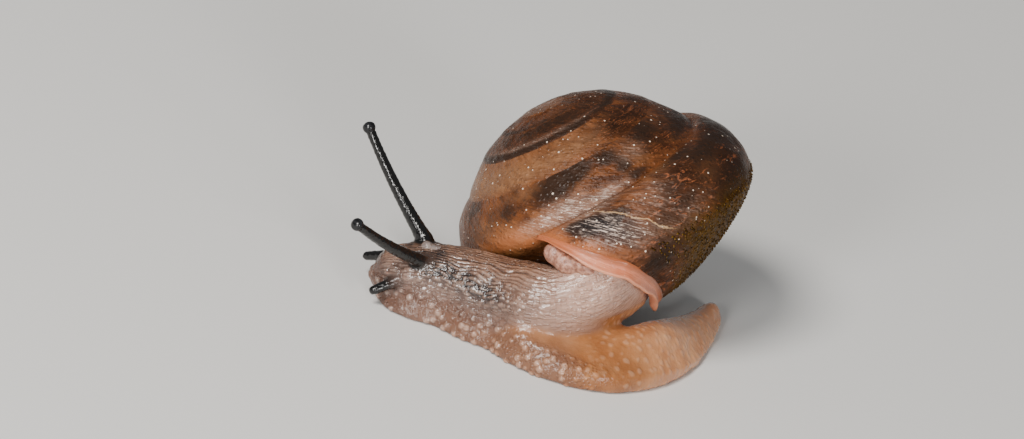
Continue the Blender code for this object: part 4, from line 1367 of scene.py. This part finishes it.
def skin_tones(fields, zones):
    """Darkness and rusty warmth of the skin at each point."""
    neck_end = along(NECK_STATIONS)[-1]
    length, angle, along_foot = fields["length"], fields["angle"], fields["foot_length"]
    fade = 1 - ramp(length, neck_end - 1.0, neck_end + 1.6)
    back = np.exp(-(angle / 0.75) ** 2) * fade
    lines = 0.5 + 0.5 * np.sin(angle * FLANK_RADIUS / WART_WIDTH * 2 * math.pi * 0.5)
    middle = 0.92 + 0.09 * (length - 3.0)
    stripe = (np.exp(-((angle + middle) / 0.40) ** 2) + np.exp(-((angle - middle) / 0.40) ** 2))
    stripe = stripe * ramp(length, 2.0, 3.2) * (1 - ramp(length, neck_end - 2.2, neck_end + 0.2))
    crown = np.exp(-((length - 3.0) / 1.0) ** 2) * np.exp(-(angle / 1.0) ** 2)
    soot = np.exp(-(np.maximum(fields["root_gap"], 0.0) / 0.42) ** 2)
    dark = back * (0.25 + 0.45 * lines) + 0.95 * stripe + 0.5 * crown + 0.85 * soot
    dark = np.clip(dark, 0, 1)
    warm = 0.12 + 0.62 * zones["low"] * (1 - 0.45 * zones["rim"]) + zones["tail"]
    warm = warm * ramp(along_foot, 0.5, 9.0) + 0.35 * back
    warm = warm * (1 - 0.6 * zones["sleek"])
    return dark * zones["neck"], np.clip(warm, 0, 1)


def build_skin(material):
    pieces = [body_core()]
    pieces += [loft(tentacle_rings(*tentacle)) for tentacle in TENTACLES]
    for side in (-1, 1):
        pieces.append(ball(Vector(MOUTH_PLACE) + Vector((0, LIP_LOBE_APART * side, 0)),
                           LIP_LOBE_SIZE))
    pieces += [ball(wart[:3], (wart[3],) * 3) for wart in HEAD_WARTS]
    bm = fused("skin", pieces, SKIN_GRAIN)
    relax(bm, 4)
    bm.verts.ensure_lookup_table()
    bm.normal_update()
    points = np.array([vert.co for vert in bm.verts])
    fields = skin_fields(points)
    zones = skin_zones(fields)
    rows, beads, spots, tufts = skin_warts(points, fields, zones)
    dark, warm = skin_tones(fields, zones)
    # Painted shade: darker colour in the grooves between the wart rows on the back.
    on_back = (1 - ramp(np.abs(fields["angle"]), 0.75, 1.05)) * zones["neck"]
    on_back = on_back * (1 - zones["sleek"])
    dark = np.clip(dark + 0.9 * on_back * (0.35 - rows), 0, 1)
    knobs = np.zeros(len(points))
    for x, y, z, radius in HEAD_WARTS:
        gap = np.linalg.norm(points - np.array([x, y, z]), axis=1)
        knobs = np.maximum(knobs, 1 - ramp(gap, radius * 1.02, radius * 1.3))
    dark, warm = dark * (1 - knobs), warm * (1 - knobs)
    zones["black"] = zones["black"] * (1 - knobs)
    lift = (ROW_HEIGHT * rows + BEAD_HEIGHT * beads + SPOT_HEIGHT * spots
            + TUFT_HEIGHT * tufts) * (1 - knobs)
    lift = lift * ramp(points[:, 2], SOLE_LINE, 0.12)
    # The pale tail end: its own paler orange, partly painted light against the shell's shadow.
    pale_and_lit_end = ramp(fields["foot_length"], 13.2, 16.5)

    tones = bm.verts.layers.float_color.new("skin_tones")
    zone_marks = bm.verts.layers.float_color.new("skin_zones")
    warts = bm.verts.layers.float_color.new("skin_warts")
    flank = bm.loops.layers.uv.new("flank")
    bulge = [0.05 * noise.noise(vert.co * 0.8) * (1 - black)
             for vert, black in zip(bm.verts, zones["black"])]
    for index, vert in enumerate(bm.verts):
        smoothed = max(zones["sleek"][index], 0.60 * knobs[index])
        vert[tones] = (dark[index], warm[index], zones["black"][index], smoothed)
        vert[zone_marks] = (zones["rim"][index], zones["neck"][index], zones["tail"][index],
                            knobs[index])
        vert[warts] = (rows[index], beads[index], spots[index], pale_and_lit_end[index])
        if vert.co.z > SOLE_LINE:
            vert.co += vert.normal * (lift[index] + bulge[index])
        vert.co.z = max(vert.co.z, 0.0)
    angle, length = fields["angle"], fields["length"]
    for face in bm.faces:
        turns = [angle[loop.vert.index] for loop in face.loops]
        wrapped = max(turns) - min(turns) > math.pi
        for loop, turn in zip(face.loops, turns):
            if wrapped and turn < 0:
                turn += 2 * math.pi
            loop[flank].uv = (length[loop.vert.index], turn * FLANK_RADIUS)
    return finish_piece(mesh_object("snail_skin", bm), material, "skin_grey", "head", "neck",
                        "stalk", "foot_front", "foot_middle", "tail_base", "tail_tip",
                        "ocular_left_base", "ocular_left_tip", "ocular_right_base",
                        "ocular_right_tip", "labial_left", "labial_right")


def build_eye(side, ends, material):
    """The knob that carries the eye at the end of an upper tentacle."""
    length = (Vector(ends[1]) - Vector(ends[0])).length
    start = 1 - EYE_LENGTH * EYE_RADIUS / length
    rings = [tube_ring(ends, OCULAR_SAG, start + depth * EYE_RADIUS / length,
                       EYE_RADIUS * share, EYE_SIDES) for depth, share in EYE_PROFILE]
    bm = loft(rings)
    bmesh.ops.subdivide_edges(bm, edges=bm.edges, cuts=1, use_grid_fill=True, smooth=0.9)
    bulb = mesh_object("eye_bulb_" + side, bm)
    return finish_piece(bulb, material, "eye", "eye_" + side)


# Stage

def pale_floor():
    bm = bmesh.new()
    bmesh.ops.create_grid(bm, x_segments=1, y_segments=1, size=2.0)
    floor = mesh_object("floor", bm)
    made, shader, place = new_material("pale_floor")
    tone = noise_at(place, 3.0, 2.0, 0.5)
    feed(shader, {"Base Color": mix(tone, (0.78, 0.77, 0.74), (0.84, 0.83, 0.81)),
                  "Roughness": 0.7})
    floor.data.materials.append(made)


def soft_light(aim, name, place, size, watts, tone):
    lamp = bpy.data.lights.new(name, "AREA")
    lamp.shape = "DISK"
    lamp.size = size
    lamp.energy = watts
    lamp.color = tone
    holder = bpy.data.objects.new(name, lamp)
    holder.location = place
    holder.rotation_euler = (aim - Vector(place)).to_track_quat("-Z", "Y").to_euler()
    bpy.context.scene.collection.objects.link(holder)


def set_lights(aim):
    world = bpy.data.worlds.new("studio")
    world.use_nodes = True
    feed(world.node_tree.nodes["Background"],
         {"Color": BACKDROP_COLOUR, "Strength": BACKDROP_STRENGTH})
    bpy.context.scene.world = world
    for light in LIGHTS:
        soft_light(aim, *light)


def set_camera():
    elevation, roll = math.radians(VIEW_ELEVATION), math.radians(VIEW_ROLL)
    right = Vector((math.cos(roll), math.sin(roll) * math.sin(elevation),
                    math.sin(roll) * math.cos(elevation)))
    up = Vector((-math.sin(roll), math.cos(roll) * math.sin(elevation),
                 math.cos(roll) * math.cos(elevation)))
    towards = Vector((0.0, -math.cos(elevation), math.sin(elevation)))
    lens = bpy.data.cameras.new("camera")
    lens.sensor_fit = "HORIZONTAL"
    lens.sensor_width = SENSOR_WIDTH
    lens.lens = SENSOR_WIDTH * VIEW_DISTANCE / (IMAGE_WIDTH / PIXELS_PER_MM)
    lens.clip_start = NEAR_CLIP
    lens.clip_end = FAR_CLIP
    camera = bpy.data.objects.new("camera", lens)
    centre = Vector(VIEW_CENTRE) + CENTRING
    turn = Matrix((right, up, towards)).transposed().to_4x4()
    camera.matrix_world = Matrix.Translation((centre + towards * VIEW_DISTANCE) * MM) @ turn
    bpy.context.scene.collection.objects.link(camera)
    bpy.context.scene.camera = camera
    return centre * MM


set_lights(set_camera())
pale_floor()
build_shell(shell_material())
build_scales(scales_material())
build_lip(lip_material())
build_collar(collar_material())
build_skin(skin_material())
eye_finish = eye_material()
build_eye("left", OCULAR_LEFT, eye_finish)
build_eye("right", OCULAR_RIGHT, eye_finish)
